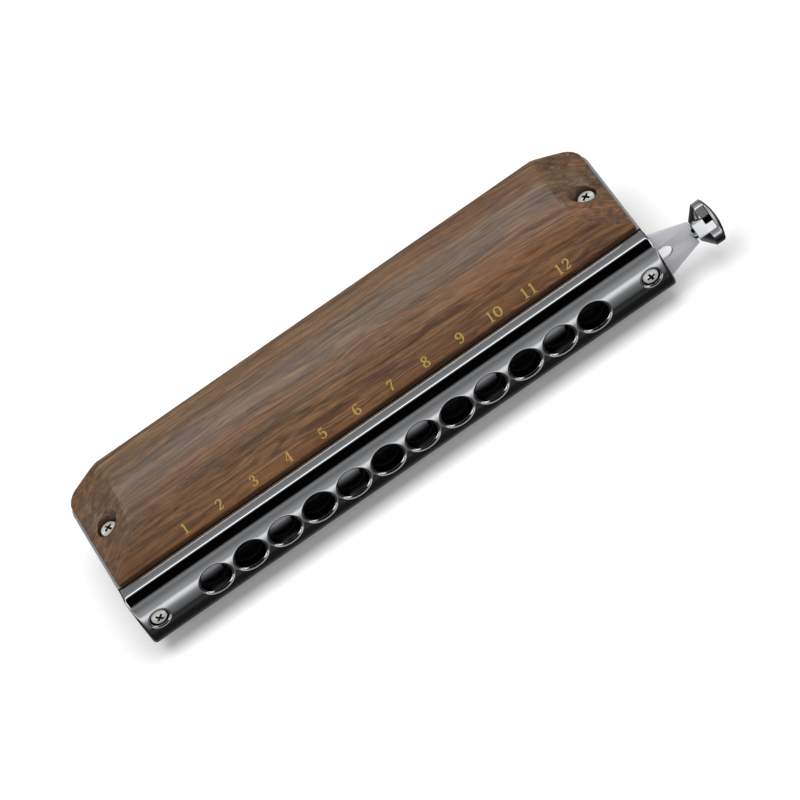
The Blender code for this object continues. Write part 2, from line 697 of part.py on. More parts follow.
def make_spring():
    """The hairpin spring: one leg in the slide, a turn and a half round its post, one leg at rest."""
    tip = (SLIDE_FRONT + SLIDE_BACK) / 2
    points = [(SPRING_LEG_X, tip, 0.0), (SPRING_LEG_X, (tip + SPRING_Y) / 2, 0.0)]
    steps = round(SPRING_TURNS * SPRING_STEPS)
    for i in range(steps + 1):
        angle = math.tau * SPRING_TURNS * i / steps
        x = SPRING_X + SPRING_RADIUS * math.cos(angle)
        y = SPRING_Y + SPRING_RADIUS * math.sin(angle)
        points.append((x, y, SPRING_RISE * SPRING_TURNS * i / steps))
    last_x, last_y, last_z = points[-1]
    points.append((last_x, last_y - SPRING_LEG / 2, last_z))
    points.append((last_x - SPRING_WIRE / 2, last_y - SPRING_LEG, last_z))

    curve = bpy.data.curves.new("slide_spring", "CURVE")
    curve.dimensions = "3D"
    curve.bevel_depth = SPRING_WIRE / 2
    curve.bevel_resolution = 2
    curve.use_fill_caps = True
    spline = curve.splines.new("POLY")
    spline.points.add(len(points) - 1)
    for point, place in zip(spline.points, points):
        point.co = (*place, 1)
    curve.materials.append(SPRING_STEEL)
    spring = bpy.data.objects.new("slide_spring", curve)
    spring.location = (0, 0, MIDDLE_Z)
    PARTS.objects.link(spring)


def make_mouth_screws():
    """Two screws through the mouthpiece into the comb, and the rubber sleeves that stop the slide."""
    seat = MOUTH_SEAT_Y - FIT_GAP
    length = COMB_FRONT + MOUTH_SCREW_BITE - seat
    head, height = MOUTH_SCREW_HEAD, MOUTH_SCREW_HEAD_HEIGHT
    screw = screw_mesh(head, height, MOUTH_SCREW_SHANK, length, HEAD_STEPS, SCREW_CROWN)
    sleeve = [circle((0, 0), BUMPER_DIAMETER), circle((0, 0), MOUTH_SCREW_HOLE)]
    ring = flat_mesh(sleeve, SLIDE_THICKNESS)
    middle = (SLIDE_FRONT + SLIDE_BACK) / 2
    for name, side in ENDS:
        x = side * MOUTH_SCREW_X
        add_part("mouthpiece_screw_" + name, screw, STEEL, (x, seat, MIDDLE_Z), FACING)
        add_part("slide_bumper_" + name, ring, RUBBER, (x, middle, MIDDLE_Z), FACING)


def nose_depth_at(z):
    """Y of the mouthpiece's rounded nose at a height from its middle."""
    return NOSE_ROOT - NOSE_DEPTH * math.sqrt(1 - (z / MOUTH_HALF_HEIGHT) ** 2)


def hole_cutter():
    """Tool for a mouth hole: a bore whose rounded lip follows the curve of the nose."""
    bore, lip_start = HOLE_BORE / 2, 20
    centre = (bore + HOLE_LIP, HOLE_LIP)
    lip = arc(centre, HOLE_LIP, 270 - lip_start, 180, LIP_STEPS)
    slope = math.radians(lip_start)
    reach = HOLE_LIP / 2
    outer = (lip[0][0] + reach * math.cos(slope), lip[0][1] - reach * math.sin(slope))
    end = MOUTH_WALL + FIT_GAP
    profile = [(0, -HOLE_LIP), (outer[0], -HOLE_LIP), outer, *lip, (bore, end), (0, end)]
    mesh = turned_mesh(profile, HOLE_STEPS, TO_BACK)
    for vertex in mesh.vertices:
        vertex.co.y += nose_depth_at(vertex.co.z)
    return mesh


def make_mouthpiece():
    """The plated mouthpiece: a rounded bar with lipped holes, a pocket behind and two screw seats."""
    outline = [
        (NOSE_ROOT - NOSE_DEPTH * math.sin(a), MOUTH_HALF_HEIGHT * math.cos(a))
        for a in (math.pi * i / NOSE_STEPS for i in range(NOSE_STEPS + 1))
    ]
    outline += [(GASKET_BACK, -MOUTH_HALF_HEIGHT), (GASKET_BACK, MOUTH_HALF_HEIGHT)]
    mesh = flat_mesh([outline], 2 * BODY_HALF, ALONG_X)
    bm = bmesh.new()
    bm.from_mesh(mesh)
    bmesh.ops.dissolve_limit(bm, angle_limit=math.radians(1), verts=bm.verts, edges=bm.edges)
    ends = [f for f in bm.faces if abs(f.normal.x) > 0.9]
    rims = {e for f in ends for e in f.edges if not is_back_edge(e)}
    bmesh.ops.bevel(
        bm,
        geom=list(rims),
        offset=MOUTH_END_ROUND,
        offset_type="OFFSET",
        segments=2,
        profile=0.5,
        affect="EDGES",
        material=-1,
    )
    mouthpiece = add_part("mouthpiece", finished_mesh(bm, mesh), CHROME, location=(0, 0, MIDDLE_Z))

    beyond = GASKET_BACK + MOUTH_WALL
    wide, narrow = STACK_HEIGHT / 2 + FIT_GAP, FRONT_PLATE_HEIGHT / 2 + FIT_GAP
    upper = [(beyond, wide), (FRONT_PLATE_BACK, wide), (FRONT_PLATE_BACK, narrow)]
    upper.append((POCKET_FLOOR, narrow))
    lower = [(y, -z) for y, z in reversed(upper)]
    pocket = flat_mesh([upper + lower], 4 * BODY_HALF, moved(0, 0, MIDDLE_Z) @ ALONG_X)
    carve(mouthpiece, "pocket", pocket)
    hole = hole_cutter()
    carve(mouthpiece, "mouth holes", gathered([(hole, moved(x, 0, MIDDLE_Z)) for x in HOLES_X]))
    through, recess = MOUTH_SCREW_HOLE / 2, MOUTH_SCREW_RECESS / 2
    profile = [
        (0, -2 * MOUTH_WALL),
        (recess, -2 * MOUTH_WALL),
        (recess, 0),
        (through, 0),
        (through, 2 * MOUTH_WALL),
        (0, 2 * MOUTH_WALL),
    ]
    seat = turned_mesh(profile, HEAD_STEPS)
    seats = [
        (seat, moved(side * MOUTH_SCREW_X, MOUTH_SEAT_Y, MIDDLE_Z) @ TO_BACK) for side in (-1, 1)
    ]
    carve(mouthpiece, "screw seats", gathered(seats))


def is_back_edge(edge):
    """True for the mouthpiece's end edge along its open back."""
    return all(v.co.y > GASKET_BACK - WELD for v in edge.verts)


def cover_section():
    """Side view of a cover from its front foot: a low face, a slope, a round shoulder, the flat."""
    slope = math.radians(COVER_FRONT_SLOPE)
    crest = COVER_FRONT + (COVER_HEIGHT - COVER_FRONT_FACE) / math.tan(slope)
    crest += COVER_SHOULDER * math.tan(slope / 2)
    centre = (crest, COVER_HEIGHT - COVER_SHOULDER)
    section = [(COVER_FRONT, 0), (COVER_FRONT, COVER_FRONT_FACE)]
    section += arc(centre, COVER_SHOULDER, 90 + COVER_FRONT_SLOPE, 90, 8)
    return section + [(COVER_BACK, COVER_HEIGHT), (COVER_BACK, 0)]


def cover_elevation():
    """Front view of a cover: the flat, a soft crease and a sloping facet down to each end."""
    slope = math.radians(COVER_END_SLOPE)
    crease = COVER_HALF - (COVER_HEIGHT - COVER_END_FACE) / math.tan(slope)
    crease -= COVER_CREASE * math.tan(slope / 2)
    low = COVER_HEIGHT - COVER_CREASE
    right = arc((crease, low), COVER_CREASE, 90, 90 - COVER_END_SLOPE, 3)
    left = [(-x, z) for x, z in reversed(right)]
    elevation = [(COVER_HALF, 0), (-COVER_HALF, 0), (-COVER_HALF, COVER_END_FACE)]
    return elevation + left + right + [(COVER_HALF, COVER_END_FACE)]


def cover_hollow():
    """Side view of the hollow under a cover: it follows the outside and leaves the back open."""
    slope = math.radians(COVER_FRONT_SLOPE)
    front = COVER_FRONT + COVER_FRONT_WALL
    inset = COVER_CEILING / math.cos(slope)
    spring_line = COVER_FRONT_FACE + COVER_FRONT_WALL * math.tan(slope) - inset
    ceiling = COVER_HEIGHT - COVER_CEILING
    bend = COVER_SHOULDER - COVER_CEILING
    crest = COVER_FRONT + (COVER_HEIGHT - COVER_FRONT_FACE) / math.tan(slope)
    crest += COVER_SHOULDER * math.tan(slope / 2)
    section = [(front, -COVER_HEIGHT), (front, spring_line)]
    section += arc((crest, ceiling - bend), bend, 90 + COVER_FRONT_SLOPE, 90, 4)
    beyond = COVER_BACK + COVER_BACK_CORNER
    return section + [(beyond, ceiling), (beyond, -COVER_HEIGHT)]


def make_covers():
    """The wooden covers: three outlines that meet, hollowed from below and bored for two screws."""
    section = flat_mesh([cover_section()], 2 * COVER_HALF, ALONG_X)
    elevation = flat_mesh([cover_elevation()], 2 * COVER_DEPTH, ALONG_Y)
    low, high = (-COVER_HALF, COVER_FRONT), (COVER_HALF, COVER_BACK)
    footprint = rounded_rectangle(low, high, FRONT_CORNER, COVER_BACK_CORNER)
    plan = flat_mesh([footprint], 4 * COVER_HEIGHT)
    hollow = flat_mesh([cover_hollow()], 2 * (COVER_HALF - COVER_END_WALL), ALONG_X)
    through, recess = COVER_SCREW_HOLE / 2, COVER_SCREW_RECESS / 2
    above = 2 * COVER_HEIGHT
    mouth = recess + (above - COVER_SCREW_SEAT) * math.tan(math.radians(COVER_SCREW_FLARE))
    bore_profile = [
        (0, -COVER_HEIGHT),
        (through, -COVER_HEIGHT),
        (through, COVER_SCREW_SEAT),
        (recess, COVER_SCREW_SEAT),
        (mouth, above),
        (0, above),
    ]
    bore = turned_mesh(bore_profile, HEAD_STEPS)
    bores = gathered([(bore, moved(s * COVER_SCREW_X, COVER_SCREW_Y, 0)) for s in (-1, 1)])
    for name, side in SIDES:
        turn = TURNED_OVER if side < 0 else UPRIGHT
        place = (0, 0, MIDDLE_Z + side * COVER_BOTTOM)
        cover = add_part(name + "_cover", gathered([(section, Matrix())]), WALNUT, place, turn)
        seat = moved(*place) @ Euler(turn).to_matrix().to_4x4()
        carve(cover, name + " end facets", gathered([(elevation, seat)]), "INTERSECT")
        carve(cover, name + " plan", gathered([(plan, seat)]), "INTERSECT")
        carve(cover, name + " hollow", gathered([(hollow, seat)]))
        carve(cover, name + " screw bores", gathered([(bores, seat)]))


def make_cover_screws():
    """A screw at each end of each cover, and the threaded bushes in the comb that they share."""
    seat = COVER_BOTTOM + COVER_SCREW_SEAT + FIT_GAP
    length = seat - COMB_TOP + COVER_SCREW_BITE
    head, height = COVER_SCREW_HEAD, COVER_SCREW_HEAD_HEIGHT
    screw = screw_mesh(head, height, COVER_SCREW_SHANK, length, HEAD_STEPS, SCREW_CROWN)
    ring = [circle((0, 0), BUSH_DIAMETER), circle((0, 0), COVER_SCREW_HOLE)]
    bush = flat_mesh(ring, COMB_THICKNESS)
    for end_name, end in ENDS:
        x = end * COVER_SCREW_X
        add_part("cover_screw_bush_" + end_name, bush, BARE_BRASS, (x, COVER_SCREW_Y, MIDDLE_Z))
        for name, side in SIDES:
            turn = TURNED_OVER if side < 0 else UPRIGHT
            place = (x, COVER_SCREW_Y, MIDDLE_Z + side * seat)
            add_part(f"{name}_cover_screw_{end_name}", screw, STEEL, place, turn)


clear_scene()
PARTS = make_collection("chromatic_harmonica")
CUTTERS = make_collection("cutters")
SIDES = (("upper", 1), ("lower", -1))
ENDS = (("left", -1), ("right", 1))

UPRIGHT = (0, 0, 0)
TURNED_OVER = (0, math.pi, 0)
FACING = (math.pi / 2, 0, 0)
HALF_TURN = Matrix.Rotation(math.pi, 4, "Z")
UPSIDE_DOWN = Matrix.Scale(-1, 4, (0, 0, 1))
TO_BACK = Matrix.Rotation(-math.pi / 2, 4, "X")
ALONG_X = Matrix(((0, 0, 1, 0), (1, 0, 0, 0), (0, 1, 0, 0), (0, 0, 0, 1)))
ALONG_Y = Matrix(((1, 0, 0, 0), (0, 0, -1, 0), (0, 1, 0, 0), (0, 0, 0, 1)))

BLACK_PLASTIC = make_material("black_plastic", (0.012, 0.012, 0.013), 0.45, 0.0)
PLATED_BRASS = make_material("plated_brass", (0.56, 0.57, 0.6), 0.25, 1.0)
VALVE_FILM = make_material("valve_film", (0.75, 0.74, 0.68), 0.6, 0.0)
STEEL = make_material("steel", (0.62, 0.62, 0.62), 0.25, 1.0)
SATIN_STEEL = make_material("satin_steel", (0.5, 0.5, 0.52), 0.4, 1.0)
SPRING_STEEL = make_material("spring_steel", (0.35, 0.35, 0.37), 0.35, 1.0)
RUBBER = make_material("rubber", (0.02, 0.02, 0.02), 0.8, 0.0)
CHROME = make_material("chrome", (0.75, 0.76, 0.78), 0.06, 1.0)
BARE_BRASS = make_material("bare_brass", (0.72, 0.55, 0.28), 0.3, 1.0)
WALNUT = make_material("walnut", (0.19, 0.1, 0.058), 0.4, 0.0)

make_comb()
make_reed_plates()
make_valves()
make_plate_screws()
make_stack()
make_slide()
make_spring()
make_mouth_screws()
make_mouthpiece()
make_covers()
make_cover_screws()
for piece in PARTS.objects:
    if piece.type == "MESH":
        smooth_mesh(piece.data)
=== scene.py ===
# %% [markdown]
# # A chromatic harmonica for a studio picture
# The construction model is loaded first and stays as it is. What follows dresses it: finer pieces take
# the place of the plain solids where the eye goes, and every surface gets a finish made of shader nodes.
# Everything stands in the same frame, in metres. X runs along the row of mouth holes towards the
# button, -Y is the player's side and +Z is up.

# %% Load the construction model
import json
import math

import bmesh
import bpy
from mathutils import Euler, Matrix, Vector


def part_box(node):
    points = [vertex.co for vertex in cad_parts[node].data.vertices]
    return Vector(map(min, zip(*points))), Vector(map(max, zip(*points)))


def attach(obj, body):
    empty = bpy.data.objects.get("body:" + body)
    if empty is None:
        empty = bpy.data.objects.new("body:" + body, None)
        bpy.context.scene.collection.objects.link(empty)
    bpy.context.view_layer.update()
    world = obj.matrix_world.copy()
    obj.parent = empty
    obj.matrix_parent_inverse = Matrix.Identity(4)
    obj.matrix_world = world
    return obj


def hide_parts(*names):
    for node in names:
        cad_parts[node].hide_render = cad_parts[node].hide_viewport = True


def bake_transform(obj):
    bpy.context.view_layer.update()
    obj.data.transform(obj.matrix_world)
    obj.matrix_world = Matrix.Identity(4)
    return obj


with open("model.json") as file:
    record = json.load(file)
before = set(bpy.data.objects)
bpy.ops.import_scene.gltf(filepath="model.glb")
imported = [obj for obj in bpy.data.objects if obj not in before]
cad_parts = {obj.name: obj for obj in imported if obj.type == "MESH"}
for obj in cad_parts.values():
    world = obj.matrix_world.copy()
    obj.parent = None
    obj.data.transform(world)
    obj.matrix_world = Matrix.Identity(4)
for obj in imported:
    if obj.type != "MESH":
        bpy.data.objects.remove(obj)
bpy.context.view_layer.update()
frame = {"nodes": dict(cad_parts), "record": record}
MM = 0.001
WELD = 0.001 * MM
SCREW_BORE_X, SCREW_BORE_Y = 66.55 * MM, -0.3 * MM

# %% [markdown]
# ## Formulas for shaders
# A finish is easier to read as a formula than as a row of nodes. This small class wraps one output of a
# node. Python's operators then add the Math nodes, also where a plain number stands on the left.

# %% One output of a shader node
class Socket:
    """An output of a shader node, which takes part in formulas."""

    def __init__(self, tree, output):
        self.tree = tree
        self.output = output

    def math(self, operation, *values, clamp=False):
        node = self.tree.nodes.new("ShaderNodeMath")
        node.operation = operation
        node.use_clamp = clamp
        for socket, value in zip(node.inputs, values):
            plug(self.tree, socket, value)
        return Socket(self.tree, node.outputs[0])

    def __add__(self, other):
        return self.math("ADD", self, other)

    def __radd__(self, other):
        return self.math("ADD", other, self)

    def __sub__(self, other):
        return self.math("SUBTRACT", self, other)

    def __rsub__(self, other):
        return self.math("SUBTRACT", other, self)

    def __mul__(self, other):
        return self.math("MULTIPLY", self, other)

    def __rmul__(self, other):
        return self.math("MULTIPLY", other, self)

    def between(self, low, high):
        """0 below the low value, 1 above the high one, and a straight rise between them."""
        return self.math("MULTIPLY", self - low, 1 / (high - low), clamp=True)


def plug(tree, socket, value):
    """Put a number, a colour or another node's output into a socket."""
    if isinstance(value, Socket):
        tree.links.new(value.output, socket)
    else:
        socket.default_value = value


# %% [markdown]
# ## Materials
# A finish is a Principled shader with a few nodes before it. One method adds any node: its settings
# first, because they can change its sockets, and then the values and links of the sockets.

# %% A finish
class Finish:
    """A material and its Principled shader."""

    def __init__(self, name, colour, roughness, metallic=0.0, **sockets):
        self.material = bpy.data.materials.new(name)
        self.material.use_nodes = True
        self.tree = self.material.node_tree
        self.shader = self.tree.nodes["Principled BSDF"]
        self.set(Base_Color=(*colour, 1.0), Roughness=roughness, Metallic=metallic, **sockets)

    def set(self, **sockets):
        for name, value in sockets.items():
            plug(self.tree, self.shader.inputs[name.replace("_", " ")], value)

    def node(self, kind, *values, settings=None, output=0, **sockets):
        """Add a node, fill its sockets by order or by name, and return one of its outputs."""
        node = self.tree.nodes.new("ShaderNode" + kind)
        for name, value in (settings or {}).items():
            setattr(node, name, value)
        for socket, value in zip(node.inputs, values):
            plug(self.tree, socket, value)
        for name, value in sockets.items():
            plug(self.tree, node.inputs[name.replace("_", " ")], value)
        return Socket(self.tree, node.outputs[output])

    def ramp(self, value, stops):
        """A colour ramp over (place, colour) stops."""
        node = self.tree.nodes.new("ShaderNodeValToRGB")
        points = node.color_ramp.elements
        points.remove(points[1])
        points[0].position = stops[0][0]
        points[0].color = (*stops[0][1], 1.0)
        for place, colour in stops[1:]:
            points.new(place).color = (*colour, 1.0)
        plug(self.tree, node.inputs[0], value)
        return Socket(self.tree, node.outputs[0])

    def mix(self, share, one, other, blend="MIX"):
        """Mix two colours."""
        node = self.tree.nodes.new("ShaderNodeMix")
        node.data_type = "RGBA"
        node.blend_type = blend
        plug(self.tree, node.inputs[0], share)
        plug(self.tree, node.inputs[6], one)
        plug(self.tree, node.inputs[7], other)
        return Socket(self.tree, node.outputs[2])

    def place(self, stretch, turn=(0, 0, 0), shift=(0, 0, 0)):
        """Object coordinates, stretched per axis."""
        where = self.node("TexCoord", output=3)
        return self.node("Mapping", where, shift, turn, stretch)

    def cloud(self, stretch, detail=3.0, turn=(0, 0, 0), shift=(0, 0, 0), **sockets):
        """Noise from 0 to 1, with its grains stretched per axis."""
        return self.node("TexNoise", self.place(stretch, turn, shift), Scale=1.0, Detail=detail, **sockets)

    def axes(self):
        """X, Y and Z of the object coordinates."""
        where = self.place((1, 1, 1))
        return [self.node("SeparateXYZ", where, output=i) for i in range(3)]

    def bore_place(self):
        """The way from the nearer cover screw's axis, level with it."""
        right, back, _ = self.axes()
        return self.node("CombineXYZ", right.math("ABSOLUTE", right) - SCREW_BORE_X, back - SCREW_BORE_Y)

    def bump(self, height, strength, distance):
        self.set(Normal=self.node("Bump", Height=height, Strength=strength, Distance=distance))


# %% [markdown]
# ### Metals
# The mouthpiece and the button are chromed brass, polished to a mirror, so they get a low roughness
# that hardly wanders. The slide is steel with fine straight scratches along X. The reed plates are
# nickel-plated brass with a dull skin, and the screws are nickelled steel.

# %% Metal finishes
def make_metal(name, colour, roughness, spread, grain, scratch=0.0, metallic=1.0):
    """A metal whose roughness wanders, with fine scratches if asked."""
    finish = Finish(name, colour, roughness, metallic)
    cloud = finish.cloud(grain, 4.0)
    finish.set(Roughness=cloud * spread + (roughness - spread / 2))
    if scratch:
        finish.bump(cloud, scratch, 0.02 * MM)
    return finish


CHROME = make_metal("chrome", (0.85, 0.87, 0.9), 0.035, 0.02, (150, 150, 150)).material
NICKEL = make_metal("nickelled_steel", (0.9, 0.91, 0.88), 0.3, 0.1, (700, 700, 700), 0.2, 0.5).material
SATIN = make_metal("satin_steel", (0.72, 0.72, 0.76), 0.42, 0.12, (250, 9000, 9000), 0.5, 0.35).material
WIRE = make_metal("spring_steel", (0.42, 0.42, 0.44), 0.3, 0.1, (900, 900, 900)).material
BRASS = make_metal("bare_brass", (0.76, 0.57, 0.28), 0.28, 0.1, (900, 900, 900), 0.2).material
GOLD = make_metal("gold_leaf", (0.52, 0.35, 0.1), 0.5, 0.2, (2500, 2500, 2500), 0.3, 0.3).material
print("metals:", len([m for m in bpy.data.materials if m.use_nodes]))

# %% [markdown]
# The chrome of the mouthpiece gets painted shade inside its holes and screw seats. The slide is bright
# where it leaves the mouthpiece and has painted shade behind it, but for a painted patch of light high
# up in every other hole.

# %% Painted shade inside the mouthpiece
def darkened(finish, colour, share, dark):
    """Darken a metal by a share from 0 to 1."""
    finish.set(Base_Color=finish.mix(share, (*colour, 1.0), (*dark, 1.0)))
    return finish.material


def make_bored_chrome():
    """Chrome with painted shade: dark inside the mouth holes and the screw seats."""
    colour = (0.85, 0.87, 0.9)
    finish = make_metal("bored_chrome", colour, 0.035, 0.02, (150, 150, 150))
    right, _, up = finish.axes()
    level = up - MIDDLE_Z
    out = right.math("ABSOLUTE", right)
    rows = ((HOLES_X[0], HOLE_PITCH / 2, BORE / 2, 1 - out.between(57 * MM, 57.2 * MM)),
            (SCREW_X, SCREW_X, SCREW_SEAT, out.between(64 * MM, 64.2 * MM)))
    inside = 0
    for centre, spacing, radius, stretch in rows:
        aside = (right - centre).math("PINGPONG", right - centre, spacing)
        away = (aside * aside + level * level).math("SQRT", aside * aside + level * level)
        inside = inside + (1 - away.between(radius - 0.02 * MM, radius + 0.1 * MM)) * stretch
    end = out.between(END_START + 0.8 * END_ROUND, END_START + 0.95 * END_ROUND)
    finish.set(Roughness=end * 0.33 + 0.035)
    # Painted shade: the chrome is darkened inside the holes and the screw seats.
    return darkened(finish, colour, inside, (0.03, 0.03, 0.03))


def make_plated():
    """The reed plates' plating, with a painted shadow in the narrow gap before the covers."""
    colour = (0.5, 0.51, 0.53)
    finish = make_metal("plated_brass", colour, 0.34, 0.12, (300, 2600, 300), 0.3, 0.7)
    _, back, _ = finish.axes()
    # Painted shadow: a dark strip along the plates' front edge, in the gap before the covers.
    return darkened(finish, colour, (0 - back).between(16.2 * MM, 16.6 * MM), (0.01, 0.008, 0.006))


def make_button_chrome():
    """Chrome with a painted highlight: a band across the cone and rim is made dull and nearly non-metallic, so it shows
    white.
    """
    finish = make_metal("button_chrome", (0.88, 0.89, 0.92), 0.035, 0.02, (150, 150, 150))
    right, back, up = finish.axes()
    # Height across the button as seen from the front and above, which places the painted highlight and the painted grey
    # reflection.
    height = (up - MIDDLE_Z) * 0.73 + (back - SLIDE_Y) * 0.68
    rim = right.between(84.7 * MM, 84.9 * MM)
    body = right.between(82.1 * MM, 82.3 * MM) * (1 - right.between(86.6 * MM, 86.8 * MM))
    painted_highlight = height.between(-2.3 * MM, -1.9 * MM) * (1 - height.between(1.1 * MM, 1.4 * MM)) * body
    painted_highlight = painted_highlight * (1 - rim * height.between(-0.3 * MM, -0.1 * MM))
    # The rim's upper part is a little less metallic: a painted grey reflection.
    grey = height.between(1.3 * MM, 1.6 * MM) * rim * body
    finish.set(Roughness=painted_highlight * 0.3 + 0.035, Metallic=1 - painted_highlight * 0.85 - grey * 0.15)
    return finish.material


def make_oiled_steel():
    """The slide's steel: bright outside the mouthpiece, with painted shade behind it and a painted patch of light high
    in every other hole.
    """
    colour = (0.72, 0.72, 0.76)
    finish = make_metal("slide_steel_painted_shade", colour, 0.42, 0.12, (250, 9000, 9000), 0.5, 0.35)
    right, _, up = finish.axes()
    aside = (right - HOLES_X[0]).math("PINGPONG", right - HOLES_X[0], HOLE_PITCH)
    lit = (up - MIDDLE_Z).between(-2.9 * MM, -0.4 * MM) * (1 - aside.between(3 * MM, 5 * MM))
    behind = 1 - right.between(71.9 * MM, 72.2 * MM)
    # Painted shade behind the mouthpiece, lifted by painted light where lit is high.
    return darkened(finish, colour, behind * (1 - lit * lit * 0.9), (0.004, 0.004, 0.004))


MIDDLE_Z = 14.0 * MM
HOLE_PITCH = 9.5 * MM
HOLES_X = [(i - 5.5) * HOLE_PITCH for i in range(12)]
BORE = 7.45 * MM
SCREW_X = 68.0 * MM
SLIDE_Y = -20.0 * MM
SCREW_SEAT = 2.35 * MM
END_START = 71.6 * MM
END_ROUND = 0.9 * MM
BORED_CHROME = make_bored_chrome()
SHADED_SLIDE_STEEL = make_oiled_steel()
PLATED = make_plated()
BUTTON_CHROME = make_button_chrome()
# A black metal that stands for shade: painted shade on the slide's back plate, the front plate and inside the screws'
# crosses.
SHADE_BLACK = make_metal("painted_shade_black", (0.02, 0.02, 0.02), 0.5, 0.1, (900, 900, 900), 0.2, 0.5).material

# %% [markdown]
# ### Walnut
# Walnut is built up as the tree does it. Broad bands of lighter and darker wood run along X, a little
# aslant. Thin dark streaks follow them, and short pores are scattered between. All patterns are solid
# noise, stretched twenty to forty times along the grain, so they run on over the slopes and into the
# hollow. The lacquer is a coat over the wood, which gives the soft band of sheen on the flat. Light and
# shade are painted in as well: the front slope is painted darker towards its foot, a painted duller band
# under the sheen cools it, and the wood inside the screw bores is painted dark as shade.

# %% Walnut
def make_walnut():
    """Lacquered walnut with its grain along X."""
    finish = Finish("walnut", (0.15, 0.08, 0.045), 0.42, Coat_Weight=0.6, Coat_Roughness=0.08)
    right, back, up = finish.axes()
    arch = (right + 35 * MM) * (right + 35 * MM) * 0.45
    trunk = finish.node("CombineXYZ", right, back + arch, up)
    waves = finish.node("TexNoise", finish.place((38, 90, 90)), output=1, Scale=1.0, Detail=3.0)
    bend = finish.node("VectorMath", waves, (0.001, 0.0042, 0.0042), settings={"operation": "MULTIPLY"})
    grain = finish.node("VectorMath", trunk, bend, settings={"operation": "ADD"})

    def pattern(length, width, detail, shift):
        """Noise along the grain, with marks about this long and wide in millimetres."""
        stretch = (1 / (length * MM), 1 / (width * MM), 1 / (width * MM))
        where = finish.node("VectorMath", grain, stretch, (shift, 1.7 * shift, 0.6 * shift),
                            settings={"operation": "MULTIPLY_ADD"})
        return finish.node("TexNoise", where, Scale=1.0, Detail=detail, Roughness=0.6)

    band = pattern(110, 5.0, 4.0, 1.0)
    hue = pattern(60, 14.0, 2.0, 2.0)
    colour = finish.mix(hue.between(0.35, 0.65), (0.195, 0.092, 0.044, 1.0), (0.18, 0.108, 0.053, 1.0))
    # Painted shade: the front slope is darker and more saturated towards its foot.
    front = (0 - back).between(6 * MM, 16 * MM)
    colour = finish.mix(front * 0.75, colour, (0.14, 0.056, 0.021, 1.0))
    # Painted sheen colour: a duller, cooler band across the flat, under the sheen.
    painted_sheen_belt = back.between(-3 * MM, 1 * MM) * (1 - back.between(6 * MM, 10 * MM))
    colour = finish.mix(painted_sheen_belt * 0.45, colour, (0.115, 0.083, 0.052, 1.0))
    streak = pattern(38, 0.85, 3.0, 3.0)
    mottle = pattern(5, 0.9, 3.0, 4.0)
    fibre = pattern(10, 0.28, 2.0, 5.0)
    shade = band * 1.5 + streak * 1.8 + mottle * 1.0 + fibre * 1.1 - 1.72
    shades = finish.node("CombineColor", shade, shade, shade)
    colour = finish.mix(1.0, colour, shades, "MULTIPLY")
    ring = pattern(230, 5.5, 1.5, 6.0)
    for level in (0.37, 0.45, 0.53, 0.61):
        off = (ring - level).math("ABSOLUTE", ring - level)
        colour = finish.mix((1 - off.between(0.0, 0.026)) * (band.between(0.3, 0.6) * 0.45 + 0.3),
                            colour, (0.055, 0.032, 0.026, 1.0))
    pores = pattern(2.6, 0.15, 1.0, 8.0).between(0.62, 0.72)
    colour = finish.mix(pores * 0.5, colour, (0.035, 0.016, 0.010, 1.0))
    # Painted shade: the wood inside the screw bores is dark.
    bore = finish.node("VectorMath", finish.bore_place(), settings={"operation": "LENGTH"}, output=1)
    colour = finish.mix(1 - bore.between(2.75 * MM, 2.95 * MM), colour, (0.045, 0.018, 0.009, 1.0))
    finish.set(Base_Color=colour, Roughness=0.38 + fibre * 0.16)
    finish.bump(fibre * 0.4 + (1 - pores), 0.14, 0.05 * MM)
    return finish.material


WALNUT = make_walnut()
print("wood:", WALNUT.name)

# %% [markdown]
# ### Plastic, rubber and film
# These are dull and nearly even. A fine noise keeps them from looking like computer plastic: the
# moulded comb has a soft skin, the rubber a dry one, and the valve film a faint haze.

# %% Dull finishes
def make_dull(name, colour, other, roughness, grain):
    """A dull finish whose colour and skin vary a little."""
    finish = Finish(name, colour, roughness)
    cloud = finish.cloud((grain, grain, grain), 3.0)
    finish.set(Base_Color=finish.mix(cloud, (*colour, 1.0), (*other, 1.0)), Roughness=roughness - 0.1 + cloud * 0.2)
    finish.bump(cloud, 0.25, 0.03 * MM)
    return finish.material


PLASTIC = make_dull("black_plastic", (0.010, 0.010, 0.011), (0.020, 0.020, 0.021), 0.42, 3500)
RUBBER = make_dull("rubber", (0.016, 0.016, 0.016), (0.03, 0.03, 0.03), 0.8, 2500)
FILM = make_dull("valve_film", (0.74, 0.73, 0.67), (0.62, 0.6, 0.54), 0.55, 1500)

FINISH_OF_SLOT = {
    "black_plastic": PLASTIC, "plated_brass": PLATED, "valve_film": FILM, "steel": NICKEL,
    "satin_steel": SATIN, "spring_steel": WIRE, "rubber": RUBBER, "chrome": CHROME,
    "bare_brass": BRASS, "walnut": WALNUT,
}
SLOT_OF_NODE = {part["node"]: part["material_slot"] for part in frame["record"]["subparts"]}
for name, slot in SLOT_OF_NODE.items():
    node = frame["nodes"][name]
    node.data.materials.clear()
    # The slide's back plate gets the black of painted shade.
    node.data.materials.append(SHADE_BLACK if name == "slide_back_plate" else FINISH_OF_SLOT[slot])
print("finishes:", len(FINISH_OF_SLOT))

# %% [markdown]
# ## Tools for making pieces
# Every finer piece is a bmesh shaped by operators and stored with its place in its vertices. A few
# helpers keep that short: a turned shape, a straight bar, a Boolean whose result is kept, and one
# that stores the piece and hides the plain solids that it stands for.

